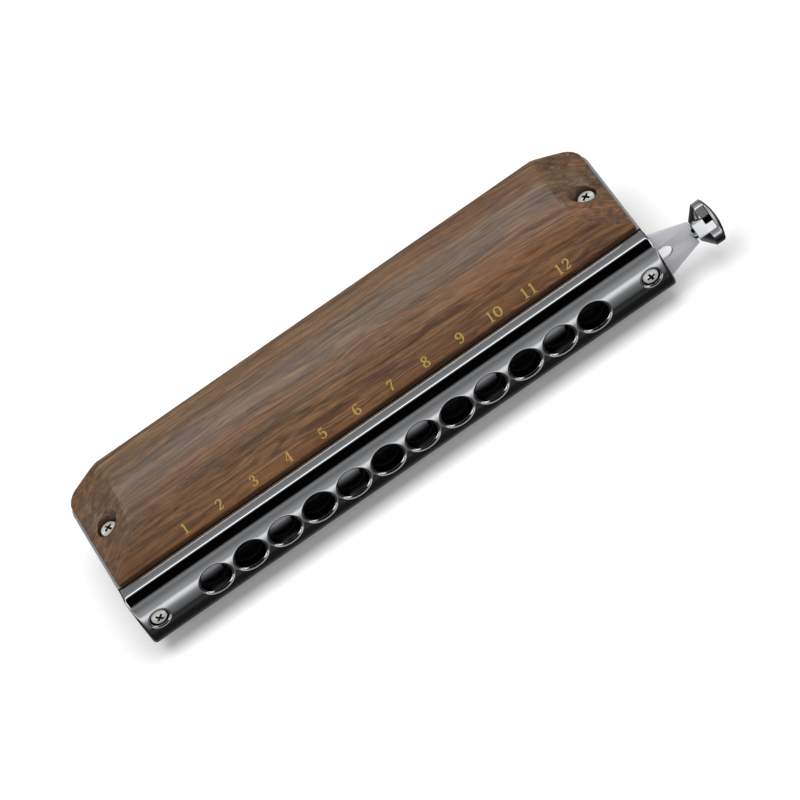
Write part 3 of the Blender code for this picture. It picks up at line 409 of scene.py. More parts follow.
# %% Mesh helpers
def arc(centre, radius, start, end, steps):
    """Points along an arc between two angles in degrees."""
    angles = [math.radians(start + (end - start) * i / steps) for i in range(steps + 1)]
    return [(centre[0] + radius * math.cos(a), centre[1] + radius * math.sin(a)) for a in angles]


def finished(bm):
    """Weld a bmesh, turn its faces outwards and store it as a mesh."""
    bmesh.ops.remove_doubles(bm, verts=bm.verts, dist=WELD)
    bmesh.ops.recalc_face_normals(bm, faces=bm.faces)
    mesh = bpy.data.meshes.new("shape")
    bm.to_mesh(mesh)
    bm.free()
    return mesh


def turned(profile, steps, placement=Matrix()):
    """Mesh turned about Z from (radius, height) points that begin and end on the axis."""
    bm = bmesh.new()
    points = [bm.verts.new((radius, 0.0, height)) for radius, height in profile]
    edges = [bm.edges.new(pair) for pair in zip(points, points[1:])]
    bmesh.ops.spin(bm, geom=points + edges, cent=(0, 0, 0), axis=(0, 0, 1), angle=math.tau, steps=steps, use_merge=True)
    bmesh.ops.transform(bm, matrix=placement, verts=bm.verts)
    return finished(bm)


def bar(outline, start, end, placement=Matrix()):
    """Mesh of an outline in X and Y, extruded from one height to another."""
    bm = bmesh.new()
    face = bm.faces.new([bm.verts.new((x, y, start)) for x, y in outline])
    grown = bmesh.ops.extrude_face_region(bm, geom=[face])
    verts = [v for v in grown["geom"] if isinstance(v, bmesh.types.BMVert)]
    bmesh.ops.translate(bm, vec=(0, 0, end - start), verts=verts)
    bmesh.ops.transform(bm, matrix=placement, verts=bm.verts)
    return finished(bm)


def gathered(copies):
    """One mesh from (mesh, placement) pairs."""
    bm = bmesh.new()
    for mesh, placement in copies:
        first = len(bm.verts)
        bm.from_mesh(mesh)
        bm.verts.ensure_lookup_table()
        bmesh.ops.transform(bm, matrix=placement, verts=bm.verts[first:])
    bmesh.ops.recalc_face_normals(bm, faces=bm.faces)
    mesh = bpy.data.meshes.new("shape")
    bm.to_mesh(mesh)
    bm.free()
    return mesh


def carved(mesh, cutter, operation="DIFFERENCE"):
    """The mesh after a Boolean with another one."""
    holder = bpy.data.objects.new("holder", mesh)
    tool = bpy.data.objects.new("tool", cutter)
    bpy.context.scene.collection.objects.link(holder)
    bpy.context.scene.collection.objects.link(tool)
    cut = holder.modifiers.new("cut", "BOOLEAN")
    cut.operation = operation
    cut.solver = "MANIFOLD"
    cut.object = tool
    bpy.context.view_layer.update()
    result = bpy.data.meshes.new_from_object(holder.evaluated_get(bpy.context.evaluated_depsgraph_get()))
    bpy.data.objects.remove(holder)
    bpy.data.objects.remove(tool)
    return result


def keep(name, mesh, finish, nodes, body="body", angle=32, inner=None):
    """Store a piece, shade it, and hide the nodes that it stands for."""
    mesh.name = name
    places = [face.material_index for face in mesh.polygons]
    mesh.materials.clear()
    for material in (finish, inner) if inner else (finish,):
        mesh.materials.append(material)
    for face, place in zip(mesh.polygons, places):
        face.material_index = place if inner else 0
    mesh.shade_smooth()
    mesh.set_sharp_from_angle(angle=math.radians(angle))
    piece = bpy.data.objects.new(name, mesh)
    bpy.context.scene.collection.objects.link(piece)
    if body:
        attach(piece, body)
    if nodes:
        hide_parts(*nodes)
    print(name, "faces:", len(mesh.polygons))
    return piece


def moved(x, y, z):
    """A placement that only moves."""
    return Matrix.Translation((x, y, z))


ALONG_X = Matrix(((0, 0, 1, 0), (1, 0, 0, 0), (0, 1, 0, 0), (0, 0, 0, 1)))
UNDER = Matrix.Rotation(math.pi, 4, "Y")
FACING = Matrix.Rotation(math.pi / 2, 4, "X")

# %% [markdown]
# ## The mouthpiece
# On the real instrument this is a brass bar, drilled, rounded and chromed. A mirror shows every flaw of
# a mesh, and a Boolean on a curved face leaves long thin faces that bend the reflections. So the nose
# is laid out flat as panels, one for each hole. A rectangle is drawn inwards ring by ring until it is
# round, rolls over into the bore as a soft lip, and the whole sheet is then laid on the curve of the
# nose. The top and bottom are extruded from its edges, and the ends are rolled in the same way.

# %% The curve of the nose
NOSE_ROOT = -20.2 * MM
NOSE_DEPTH = 4.4 * MM
NOSE_HALF = 8.0 * MM
NOSE_POWER = 3.0
NOSE_TOP = -20.9 * MM
TAPER = 0.078
TAPER_END = -22.0 * MM
MOUTH_BACK = -17.6 * MM
PANEL_HALF = 5.3 * MM
BORE_END = -21.4 * MM
LIP_DEPTH = 1.35


def half_height(y):
    """Half the bar's height, which falls a little towards the back."""
    return NOSE_HALF - TAPER * (max(y, TAPER_END) - NOSE_TOP)


def nose(z):
    """Y of the nose at a height from its middle."""
    y = TAPER_END
    for _ in range(8):
        rise = min(1.0, abs(z) / half_height(y))
        y = NOSE_ROOT - NOSE_DEPTH * (1 - rise**NOSE_POWER) ** (1 / NOSE_POWER)
    return y


def nose_profile(steps):
    """From the panels' upper edge over the top to the back: (y, z) points, close where the bend is."""
    share = 2 / NOSE_POWER
    first = math.acos((PANEL_HALF / half_height(TAPER_END)) ** (1 / share))
    even = NOSE_POWER / (2 * NOSE_POWER - 2)
    lean = math.atan(math.tan(first) ** (1 / even))
    points = []
    for step in range(1, steps + 1):
        angle = math.atan(math.tan(lean * (1 - step / steps) ** 1.6) ** even)
        y = NOSE_ROOT - NOSE_DEPTH * math.sin(angle) ** share
        points.append((y, half_height(y) * math.cos(angle) ** share))
    edge = 0.05 * MM
    for y in (NOSE_ROOT + 0.8 * MM, NOSE_ROOT + 1.8 * MM, MOUTH_BACK - edge):
        points.append((y, half_height(y)))
    last = points[-1][1]
    return points + arc((MOUTH_BACK - edge, last - edge), edge, 90, 0, 4)[1:]


print("nose at the holes' middle:", round(nose(0) / MM, 2), "mm")

# %% Panels with a round opening
def opened_panel(bm, half_width, across, up, opening, lip, inner):
    """A rectangle around X = 0, drawn in to a round opening with a rolled lip.

    The inner rings are (radius, y) pairs behind the lip. The last one is filled.
    """
    places = ((-1, -1), (1, -1), (1, 1), (-1, 1))
    corners = [bm.verts.new((x * half_width, nose(PANEL_HALF), z * PANEL_HALF)) for x, z in places]
    rim = [bm.edges.new((corners[i], corners[(i + 1) % 4])) for i in range(4)]
    bmesh.ops.subdivide_edges(bm, edges=rim[0::2], cuts=across - 1)
    bmesh.ops.subdivide_edges(bm, edges=rim[1::2], cuts=up - 1)
    for vert in bm.verts:
        vert.co.y = nose(vert.co.z)
    outer = opening + lip
    rings = [(share, outer, 0.0, None) for share in (0.15, 0.3, 0.45, 0.6, 0.75, 0.88, 1.0)]
    for step in range(1, 9):
        roll = math.radians(90 * step / 8)
        rings.append((1.0, opening + lip * (1 - math.sin(roll)), lip * LIP_DEPTH * (1 - math.cos(roll)), None))
    rings += [(1.0, radius, 0.0, y) for radius, y in inner]
    edges = list(bm.edges)
    for share, radius, depth, y in rings:
        grown = bmesh.ops.extrude_edge_only(bm, edges=edges)["geom"]
        edges = [g for g in grown if isinstance(g, bmesh.types.BMEdge)]
        for vert in (g for g in grown if isinstance(g, bmesh.types.BMVert)):
            angle = math.atan2(vert.co.z, vert.co.x)
            reach = min(half_width / max(abs(math.cos(angle)), 1e-9), PANEL_HALF / max(abs(math.sin(angle)), 1e-9))
            size = reach + (radius - reach) * share
            vert.co.x, vert.co.z = size * math.cos(angle), size * math.sin(angle)
            vert.co.y = nose(vert.co.z) + depth if y is None else y
    bmesh.ops.edgeloop_fill(bm, edges=edges)


def panel_mesh(*measures):
    """One such panel as a mesh, left open along its outer edge."""
    bm = bmesh.new()
    opened_panel(bm, *measures)
    mesh = bpy.data.meshes.new("panel")
    bm.to_mesh(mesh)
    bm.free()
    return mesh


ACROSS, UP = 28, 36
SCREW_PANEL_HALF = 3.3 * MM
SEAT_Y = -22.9 * MM
hole_panel = panel_mesh(HOLE_PITCH / 2, ACROSS, UP, BORE / 2, 0.85 * MM, [(BORE / 2, BORE_END)])
screw_panel = panel_mesh(
    SCREW_PANEL_HALF, ACROSS, UP, SCREW_SEAT, 0.5 * MM,
    [(SCREW_SEAT, SEAT_Y), (1.2 * MM, SEAT_Y), (1.2 * MM, BORE_END)])
print("faces of a hole's panel:", len(hole_panel.polygons))

# %% [markdown]
# The twelve panels stand side by side, with a plain stretch and a screw panel at each end. Every row of
# edges is then carried on: up and down over the profile, and outwards over the rolled ends. What is
# left open is filled, so the bar is one closed body before its back is hollowed out for the slide.

# %% The mouthpiece
def outward(y, z):
    """Direction in which the end roll draws a point of the profile in."""
    if y >= NOSE_ROOT:
        return 0.0, math.copysign(1.0, z)
    forward = -((NOSE_ROOT - y) / NOSE_DEPTH) ** (NOSE_POWER - 1) / NOSE_DEPTH
    rise = (abs(z) / NOSE_HALF) ** (NOSE_POWER - 1) / NOSE_HALF
    slope = Vector((forward, math.copysign(rise, z))).normalized()
    return slope.x, slope.y


def carry(bm, edges, target):
    """Extrude edges and move each new vertex to where the target function says."""
    grown = bmesh.ops.extrude_edge_only(bm, edges=edges)["geom"]
    for vert in (g for g in grown if isinstance(g, bmesh.types.BMVert)):
        vert.co = target(vert.co)
    return [g for g in grown if isinstance(g, bmesh.types.BMEdge)]


def make_mouthpiece():
    """The chromed bar with its lipped holes."""
    bm = bmesh.new()
    copies = [(hole_panel, x) for x in HOLES_X] + [(screw_panel, side * SCREW_X) for side in (-1, 1)]
    for mesh, x in copies:
        first = len(bm.verts)
        bm.from_mesh(mesh)
        bm.verts.ensure_lookup_table()
        bmesh.ops.translate(bm, vec=(x, 0, 0), verts=bm.verts[first:])
    start, stop, steps = 6 * HOLE_PITCH, SCREW_X - SCREW_PANEL_HALF, 8
    for side in (-1, 1):
        edges = [e for e in bm.edges if all(abs(v.co.x - side * start) < WELD for v in e.verts)]
        for _ in range(steps):
            step = side * (stop - start) / steps
            edges = carry(bm, edges, lambda co, step=step: co + Vector((step, 0, 0)))
    bmesh.ops.remove_doubles(bm, verts=bm.verts, dist=WELD)
    for side in (-1, 1):
        edges = [e for e in bm.edges if all(abs(v.co.z - side * PANEL_HALF) < WELD for v in e.verts)]
        edges = [e for e in edges if e.is_boundary]
        for y, z in nose_profile(30):
            edges = carry(bm, edges, lambda co, y=y, z=z, side=side: Vector((co.x, y, side * z)))
    carry(bm, edges, lambda co: Vector((co.x, co.y, -co.z)))
    bmesh.ops.remove_doubles(bm, verts=bm.verts, dist=WELD)
    for side in (-1, 1):
        edges = [e for e in bm.edges if e.is_boundary and e.verts[0].co.x * side > 0]
        last = 0.0
        for step in range(1, 9):
            roll = math.radians(90 * step / 8)
            sink = END_ROUND * (math.cos(last) - math.cos(roll))
            reach = END_START + END_ROUND * math.sin(roll)

            def rolled(co, sink=sink, reach=reach, side=side):
                y, z = outward(co.y, co.z)
                return Vector((side * reach, co.y - sink * y, co.z - sink * z))

            edges = carry(bm, edges, rolled)
            last = roll
        bmesh.ops.edgeloop_fill(bm, edges=edges)
    bmesh.ops.translate(bm, vec=(0, 0, MIDDLE_Z), verts=bm.verts)
    open_edges = sum(e.is_boundary for e in bm.edges)
    solid = finished(bm)
    pocket = [(-15.0, 7.5), (-20.7, 7.5), (-20.7, 6.83), (-21.7, 6.83)]
    pocket += [(y, -z) for y, z in reversed(pocket)]
    pocket = [(y * MM, z * MM) for y, z in pocket]
    hollow = bar(pocket, -0.1, 0.1, moved(0, 0, MIDDLE_Z) @ ALONG_X)
    print("open edges before the pocket:", open_edges)
    return keep("mouthpiece_bar", carved(solid, hollow), BORED_CHROME, ["mouthpiece"])


make_mouthpiece()

# %% [markdown]
# ## Flat stock
# The slide, its plates and the reed plates are stamped from sheet. Blender makes such a piece from a
# filled 2D curve: the first outline is the rim and the others are holes. The extrusion gives the
# thickness, and a small bevel on the curve breaks the sharp edges, as tumbling does in the factory.

# %% Outlines and flat stock
def round_hole(x, y, diameter, steps=48):
    """Outline of a round hole."""
    return arc((x, y), diameter / 2, 0, 360, steps)[:-1]


def rounded_box(low, high, front_corner, back_corner, steps=8):
    """Outline of a rectangle, with one corner radius at its low side and one at its high side."""
    (x0, y0), (x1, y1), f, b = low, high, front_corner, back_corner
    return (
        arc((x0 + f, y0 + f), f, 180, 270, steps)
        + arc((x1 - f, y0 + f), f, 270, 360, steps)
        + arc((x1 - b, y1 - b), b, 0, 90, steps)
        + arc((x0 + b, y1 - b), b, 90, 180, steps)
    )


def window(x, y, width, height, corner):
    """Outline of a window about its centre."""
    low, high = (x - width / 2, y - height / 2), (x + width / 2, y + height / 2)
    return rounded_box(low, high, corner, corner, 5)


def flat_stock(outlines, thickness, edge, placement):
    """Mesh of flat stock with softened edges, whose later outlines are holes."""
    curve = bpy.data.curves.new("outline", "CURVE")
    curve.dimensions = "2D"
    curve.fill_mode = "BOTH"
    curve.extrude = thickness / 2 - edge
    curve.bevel_depth = edge
    curve.bevel_resolution = 1
    curve.offset = -edge
    for outline in outlines:
        spline = curve.splines.new("POLY")
        spline.points.add(len(outline) - 1)
        for point, (x, y) in zip(spline.points, outline):
            point.co = (x, y, 0, 1)
        spline.use_cyclic_u = True
    holder = bpy.data.objects.new("outline", curve)
    bpy.context.scene.collection.objects.link(holder)
    evaluated = holder.evaluated_get(bpy.context.evaluated_depsgraph_get())
    mesh = bpy.data.meshes.new_from_object(evaluated)
    bpy.data.objects.remove(holder)
    bm = bmesh.new()
    bm.from_mesh(mesh)
    bmesh.ops.transform(bm, matrix=placement, verts=bm.verts)
    return finished(bm)


# %% [markdown]
# ## The slide
# A strip of steel runs between two plates behind the mouth holes. Its windows are cross-cut: they
# begin on unlike reed plates from hole to hole, so pressing the button swaps all twelve at once. Right
# of the last hole the strip has a slot for the screw that it slides along, and it narrows to the button.

# %% The slide and its plates
STACK_HALF = 7.2 * MM
STACK_END = 72.3 * MM
TRAVEL = HOLE_PITCH / 2
WINDOW = 4.4 * MM
WINDOW_HEIGHT = 4.2 * MM
WINDOW_Z = 2.9 * MM
FORK = 1.8 * MM
BLADE_END = 72.5 * MM
TIP_X, TIP_HALF = 81.9 * MM, 3.45 * MM
TANG_END, TANG_HALF = 85.2 * MM, 1.1 * MM


def slide_windows():
    """Outlines of the slide's windows, each half a pitch wider than the airway that it opens."""
    outlines = []
    for z, first in ((WINDOW_Z, -1), (-WINDOW_Z, 0)):
        for left_hole in range(first, len(HOLES_X), 2):
            left, right = HOLES_X[0] - WINDOW / 2, HOLES_X[-1] + TRAVEL + WINDOW / 2
            if left_hole >= 0:
                left = HOLES_X[left_hole] + TRAVEL - WINDOW / 2
            if left_hole + 1 < len(HOLES_X):
                right = HOLES_X[left_hole + 1] + WINDOW / 2
            outlines.append(window((left + right) / 2, z, right - left, WINDOW_HEIGHT, 0.8 * MM))
    return outlines


def make_slide():
    """The slide with its screw slot, fork and windows."""
    left = TRAVEL + 0.3 * MM - BLADE_END
    fork_x = TRAVEL - SCREW_X
    slot_end = BLADE_END + 3.35 * MM - FORK
    outline = [(left, -STACK_HALF), (BLADE_END, -STACK_HALF)]
    outline += [(TIP_X, -TIP_HALF), (TIP_X, -TANG_HALF), (TANG_END, -TANG_HALF)]
    outline += [(x, -y) for x, y in reversed(outline)]
    outline += [(left, FORK)] + arc((fork_x, 0), FORK, 90, -90, 16) + [(left, -FORK)]
    slot = arc((slot_end, 0), FORK, -90, 90, 20) + arc((SCREW_X, 0), FORK, 90, 270, 20)
    spring_hole = round_hole(fork_x + FORK + 1.25 * MM, 0, 1.5 * MM)
    mesh = flat_stock([outline, slot, spring_hole] + slide_windows(), 0.8 * MM, 0.08 * MM,
                      moved(0, SLIDE_Y, MIDDLE_Z) @ FACING)
    keep("slide_blade", mesh, SHADED_SLIDE_STEEL, ["slide"], "slide_body")


def make_front_plate():
    """The plate between the mouthpiece and the slide."""
    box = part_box("slide_front_plate")
    half = (box[1][2] - box[0][2]) / 2
    middle = (box[0][1] + box[1][1]) / 2
    outlines = [rounded_box((-STACK_END, -half), (STACK_END, half), 0.6 * MM, 0.6 * MM)]
    outlines += [round_hole(x, 0, BORE, 64) for x in HOLES_X]
    outlines += [round_hole(side * SCREW_X, 0, 2.4 * MM) for side in (-1, 1)]
    mesh = flat_stock(outlines, 0.7 * MM, 0.08 * MM, moved(0, middle, MIDDLE_Z) @ FACING)
    # The front plate is black all over: painted shade inside the holes.
    keep("front_plate", mesh, SHADE_BLACK, ["slide_front_plate"])


def make_spring():
    """The return spring, whose front leg hooks into the slide, copied from the construction model."""
    bm = bmesh.new()
    bm.from_mesh(frame["nodes"]["slide_spring"].data)
    piece = keep("return_spring", finished(bm), WIRE, ["slide_spring"], None)
    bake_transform(piece)


make_slide()
make_front_plate()
make_spring()

# %% [markdown]
# ## The button
# The button is turned from brass rod and chromed: a small hub, a cone that flares to a wide rim, and a
# slightly domed face for the finger. It is a profile spun about the X axis. A slot across the hub takes
# the end of the slide.

# %% The button
def make_button():
    """The turned button on the slide's tang."""
    hub_back, hub_face, cone_end, rim_end = 81.0 * MM, 82.2 * MM, 84.9 * MM, 87.1 * MM
    hub, neck, rim = 1.8 * MM, 2.85 * MM, 5.55 * MM
    soft, hub_soft = 0.3 * MM, 0.9 * MM
    dome = 1.2 * MM
    radius = (rim**2 + dome**2) / (2 * dome)
    profile = [(0, hub_back)]
    profile += arc((hub - hub_soft, hub_back + hub_soft), hub_soft, -90, 0, 10)
    profile += [(hub, hub_face), (neck - soft, hub_face)]
    profile += arc((neck - soft, hub_face + soft), soft, -90, -45, 4)
    profile += arc((rim - soft, cone_end), soft, -45, 0, 4)
    profile += [(rim, rim_end - soft)] + arc((rim - soft, rim_end - soft), soft, 0, 77, 6)
    face = math.degrees(math.asin((rim - soft) / radius))
    profile += arc((0, rim_end + dome - radius), radius, 90 - face, 90, 16)
    mesh = turned(profile, 128, moved(0, SLIDE_Y, MIDDLE_Z) @ Matrix.Rotation(math.pi / 2, 4, "Y"))
    gap = 0.45 * MM
    slot = [(79 * MM, -3 * MM), (hub_face, -3 * MM), (hub_face, -TANG_HALF - gap), (TANG_END + gap, -TANG_HALF - gap)]
    slot += [(x, -z) for x, z in reversed(slot)]
    cutter = bar(slot, -gap, gap, moved(0, SLIDE_Y, MIDDLE_Z) @ FACING)
    keep("button", carved(mesh, cutter), BUTTON_CHROME, ["slide_button"], "slide_body")


make_button()

# %% [markdown]
# ## Screws
# All screws are Phillips heads, nickelled. A head is a turned dome, and the cross is cut with two
# tapering wedges. One function serves the big screws and the small ones that hold the reed plates.

# %% Screws
def screw(head, height, crown, shank, length):
    """Mesh of a screw that stands on height 0, head up, with its cross cut in."""
    radius = (head**2 / 4 + crown**2) / (2 * crown)
    edge = 0.12 * MM
    half = math.degrees(math.asin((head / 2 - edge) / radius))
    profile = [(0, -length), (shank / 2 - edge, -length), (shank / 2, edge - length)]
    profile += [(shank / 2, 0), (head / 2 - edge, 0), (head / 2, edge)]
    profile += arc((head / 2 - edge, height - crown - edge), edge, 0, 70, 4)
    profile += arc((0, height - radius), radius, 90 - half, 90, 10)
    solid = turned(profile, 64)
    wide, narrow, deep, arm = head * 0.085, head * 0.055, height * 0.85, head * 0.28
    wedge = [(-narrow, height - deep), (narrow, height - deep), (wide, height + crown), (-wide, height + crown)]
    wings = bar(wedge, -arm, arm, FACING)
    cross = carved(wings, gathered([(wings, Matrix.Rotation(math.pi / 2, 4, "Z"))]), "UNION")
    mesh = carved(solid, cross)
    # Faces sunk in the cross get the black of painted shade.
    for face in mesh.polygons:
        across = face.center.xy.length
        crown_height = height - radius + math.sqrt(radius**2 - min(across, head / 2) ** 2)
        sunk = height - 1.01 * deep < face.center.z < crown_height - 0.03 * MM
        face.material_index = int(sunk and across < arm)
    return mesh


def make_screws():
    """Two mouthpiece screws, four cover screws and twelve plate screws."""
    mouth = screw(3.9 * MM, 1.2 * MM, 0.4 * MM, 1.8 * MM, 14.3 * MM)
    seat = SEAT_Y - 0.3 * MM
    for name, side, turn in (("left", -1, 40), ("right", 1, 12)):
        place = moved(side * SCREW_X, seat, MIDDLE_Z) @ FACING @ Matrix.Rotation(math.radians(turn), 4, "Z")
        keep("mouth_screw_" + name, gathered([(mouth, place)]), NICKEL, ["mouthpiece_screw_" + name],
             inner=SHADE_BLACK)
    cover = screw(4.1 * MM, 1.2 * MM, 0.4 * MM, 2.0 * MM, 6.7 * MM)
    for end, side in (("left", -1), ("right", 1)):
        for level, up in (("upper", 1), ("lower", -1)):
            place = moved(side * 66.55 * MM, -0.3 * MM, MIDDLE_Z + up * 8.8 * MM)
            place = place @ (UNDER if up < 0 else Matrix()) @ Matrix.Rotation(math.radians(50 * side - 12), 4, "Z")
            keep(f"cover_screw_{level}_{end}_head", gathered([(cover, place)]), NICKEL,
                 [f"{level}_cover_screw_{end}"], inner=SHADE_BLACK)


def make_plate_screws():
    """The small screws on both reed plates, made as one piece for each plate."""
    small = screw(3.0 * MM, 0.9 * MM, 0.2 * MM, 1.6 * MM, 5.6 * MM)
    for level, up in (("upper", 1), ("lower", -1)):
        names = sorted(name for name in frame["nodes"] if name.startswith(level + "_plate_screw"))
        copies = []
        for number, name in enumerate(names):
            low, high = (Vector(corner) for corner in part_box(name))
            middle = (low + high) / 2
            place = moved(middle.x, middle.y, MIDDLE_Z + up * 7.5 * MM)
            turn = Matrix.Rotation(math.radians(37 * number), 4, "Z")
            copies.append((small, place @ (UNDER if up < 0 else Matrix()) @ turn))
        keep(level + "_plate_screws", gathered(copies), NICKEL, names, inner=SHADE_BLACK)


make_screws()
make_plate_screws()

# %% [markdown]
# ## The wooden covers
# Each cover is shaped from one board: the front is planed to a slope that rolls over into the flat, and
# the ends get a flatter facet. Three outlines are extruded and kept where they meet, which gives the same
# hips as the plane does. The hollow and the two screw bores are cut away, and a fine bevel takes the
# sharpness off, as sandpaper would.

# %% The covers
COVER_X, COVER_Y = 71.6 * MM, 16.5 * MM
COVER_FOOT, COVER_HEIGHT = 7.5 * MM, 6.5 * MM
FRONT_FACE, FRONT_SLOPE, SHOULDER = 1.0 * MM, 42.0, 9.5 * MM
END_FACE, END_SLOPE, CREASE = 1.2 * MM, 26.0, 12.0 * MM
CROWN_ANGLE = 3.5
CEILING = 2.0 * MM
FRONT_WALL = 3.2 * MM
HOLLOW_X = 60.0 * MM


def slope_top(y, inset=0.0):
    """Height of the front slope above the foot, at a Y."""
    slope = math.radians(FRONT_SLOPE)
    return FRONT_FACE + (y + COVER_Y) * math.tan(slope) - inset / math.cos(slope)


def cover_side_view():
    """From the front foot: a low face, the slope, a round shoulder and a faintly crowned top."""
    slope, crown = math.radians(FRONT_SLOPE), math.radians(CROWN_ANGLE)
    rise = math.tan(crown / 2) / 2
    turn_y = SHOULDER * (math.sin(slope) - math.sin(crown))
    turn_z = SHOULDER * (math.cos(crown) - math.cos(slope))
    run = (COVER_HEIGHT - FRONT_FACE - turn_z) / math.tan(slope) + turn_y - 2 * COVER_Y
    width = -run / (1 - rise / math.tan(slope))
    start_y, start_z = COVER_Y - width, COVER_HEIGHT - width * rise
    centre = (start_y + SHOULDER * math.sin(crown), start_z - SHOULDER * math.cos(crown))
    radius = width / 2 / math.sin(crown)
    middle = (COVER_Y - width / 2, COVER_HEIGHT - radius)
    view = [(-COVER_Y, 0), (-COVER_Y, FRONT_FACE)]
    view += arc(centre, SHOULDER, 90 + FRONT_SLOPE, 90 + CROWN_ANGLE, 28)
    view += arc(middle, radius, 90 + CROWN_ANGLE, 90 - CROWN_ANGLE, 24)[1:]
    return view + [(COVER_Y, 0)]


def cover_block():
    """The cover's outer form: side view, front view and plan, kept where they meet."""
    slope = math.radians(END_SLOPE)
    crease = COVER_X - (COVER_HEIGHT - END_FACE) / math.tan(slope) - CREASE * math.tan(slope / 2)
    right = arc((crease, COVER_HEIGHT - CREASE), CREASE, 90, 90 - END_SLOPE, 16) + [(COVER_X, END_FACE), (COVER_X, 0)]
    front_view = [(-x, z) for x, z in reversed(right)] + right
    plan = rounded_box((-COVER_X, -COVER_Y), (COVER_X, COVER_Y), 0.6 * MM, 3.2 * MM, 16)
    block = bar(cover_side_view(), -COVER_X - MM, COVER_X + MM, ALONG_X)
    block = carved(block, bar(front_view, -2 * COVER_Y, 2 * COVER_Y, FACING), "INTERSECT")
    return carved(block, bar(plan, -COVER_HEIGHT, 2 * COVER_HEIGHT), "INTERSECT")


def cover_hollow():
    """What is cut away below: it follows the outside and is open at the back."""
    front, ceiling = -COVER_Y + FRONT_WALL, COVER_HEIGHT - CEILING
    bend = SHOULDER - CEILING
    slope = math.radians(FRONT_SLOPE)
    rise = slope_top(front, CEILING)
    bend_y = front + (ceiling - rise) / math.tan(slope) + bend * math.tan(slope / 2)
    section = [(front, -MM), (front, rise)]
    section += arc((bend_y, ceiling - bend), bend, 90 + FRONT_SLOPE, 90, 12)
    section += [(2 * COVER_Y, ceiling), (2 * COVER_Y, -MM)]
    return bar(section, -HOLLOW_X, HOLLOW_X, ALONG_X)


def screw_bores():
    """Two counterbores that flare upwards, with the screws' holes below them."""
    seat, top, flare = 1.0 * MM, 8.0 * MM, math.tan(math.radians(14))
    profile = [(0, -MM), (1.3 * MM, -MM), (1.3 * MM, seat), (2.4 * MM, seat)]
    profile += [(2.4 * MM + (top - seat) * flare, top), (0, top)]
    bore = turned(profile, 64)
    return gathered([(bore, moved(side * SCREW_BORE_X, SCREW_BORE_Y, 0)) for side in (-1, 1)])


def make_covers():
    """The upper cover, and the lower one turned over below it."""
    shape = carved(carved(cover_block(), cover_hollow()), screw_bores())
    bm = bmesh.new()
    bm.from_mesh(shape)
    bmesh.ops.dissolve_limit(bm, angle_limit=math.radians(0.05), verts=bm.verts, edges=bm.edges)
    sharp = [e for e in bm.edges if e.is_manifold and e.calc_face_angle() > math.radians(20)]
    bmesh.ops.bevel(bm, geom=sharp, offset=0.3 * MM, offset_type="OFFSET", segments=3, profile=0.5,
                    affect="EDGES", clamp_overlap=True, material=-1)
    smooth = finished(bm)
    for name, up in (("upper", 1), ("lower", -1)):
        place = moved(0, 0, MIDDLE_Z + up * COVER_FOOT)
        if up < 0:
            place = place @ UNDER
        keep(name + "_cover_wood", gathered([(smooth, place)]), WALNUT, [name + "_cover"], angle=30)


make_covers()

# %% [markdown]
# ## The hole numbers
# Numbers 1 to 12 stand in gold on the front slope, one over each hole. They are drawn with a broad pen:
# each stroke is a curve whose radius swells and thins, which gives the serifs and the round ends of an
# old-style figure. Flattened to a few hundredths of a millimetre, the tubes read as leaf on the wood.

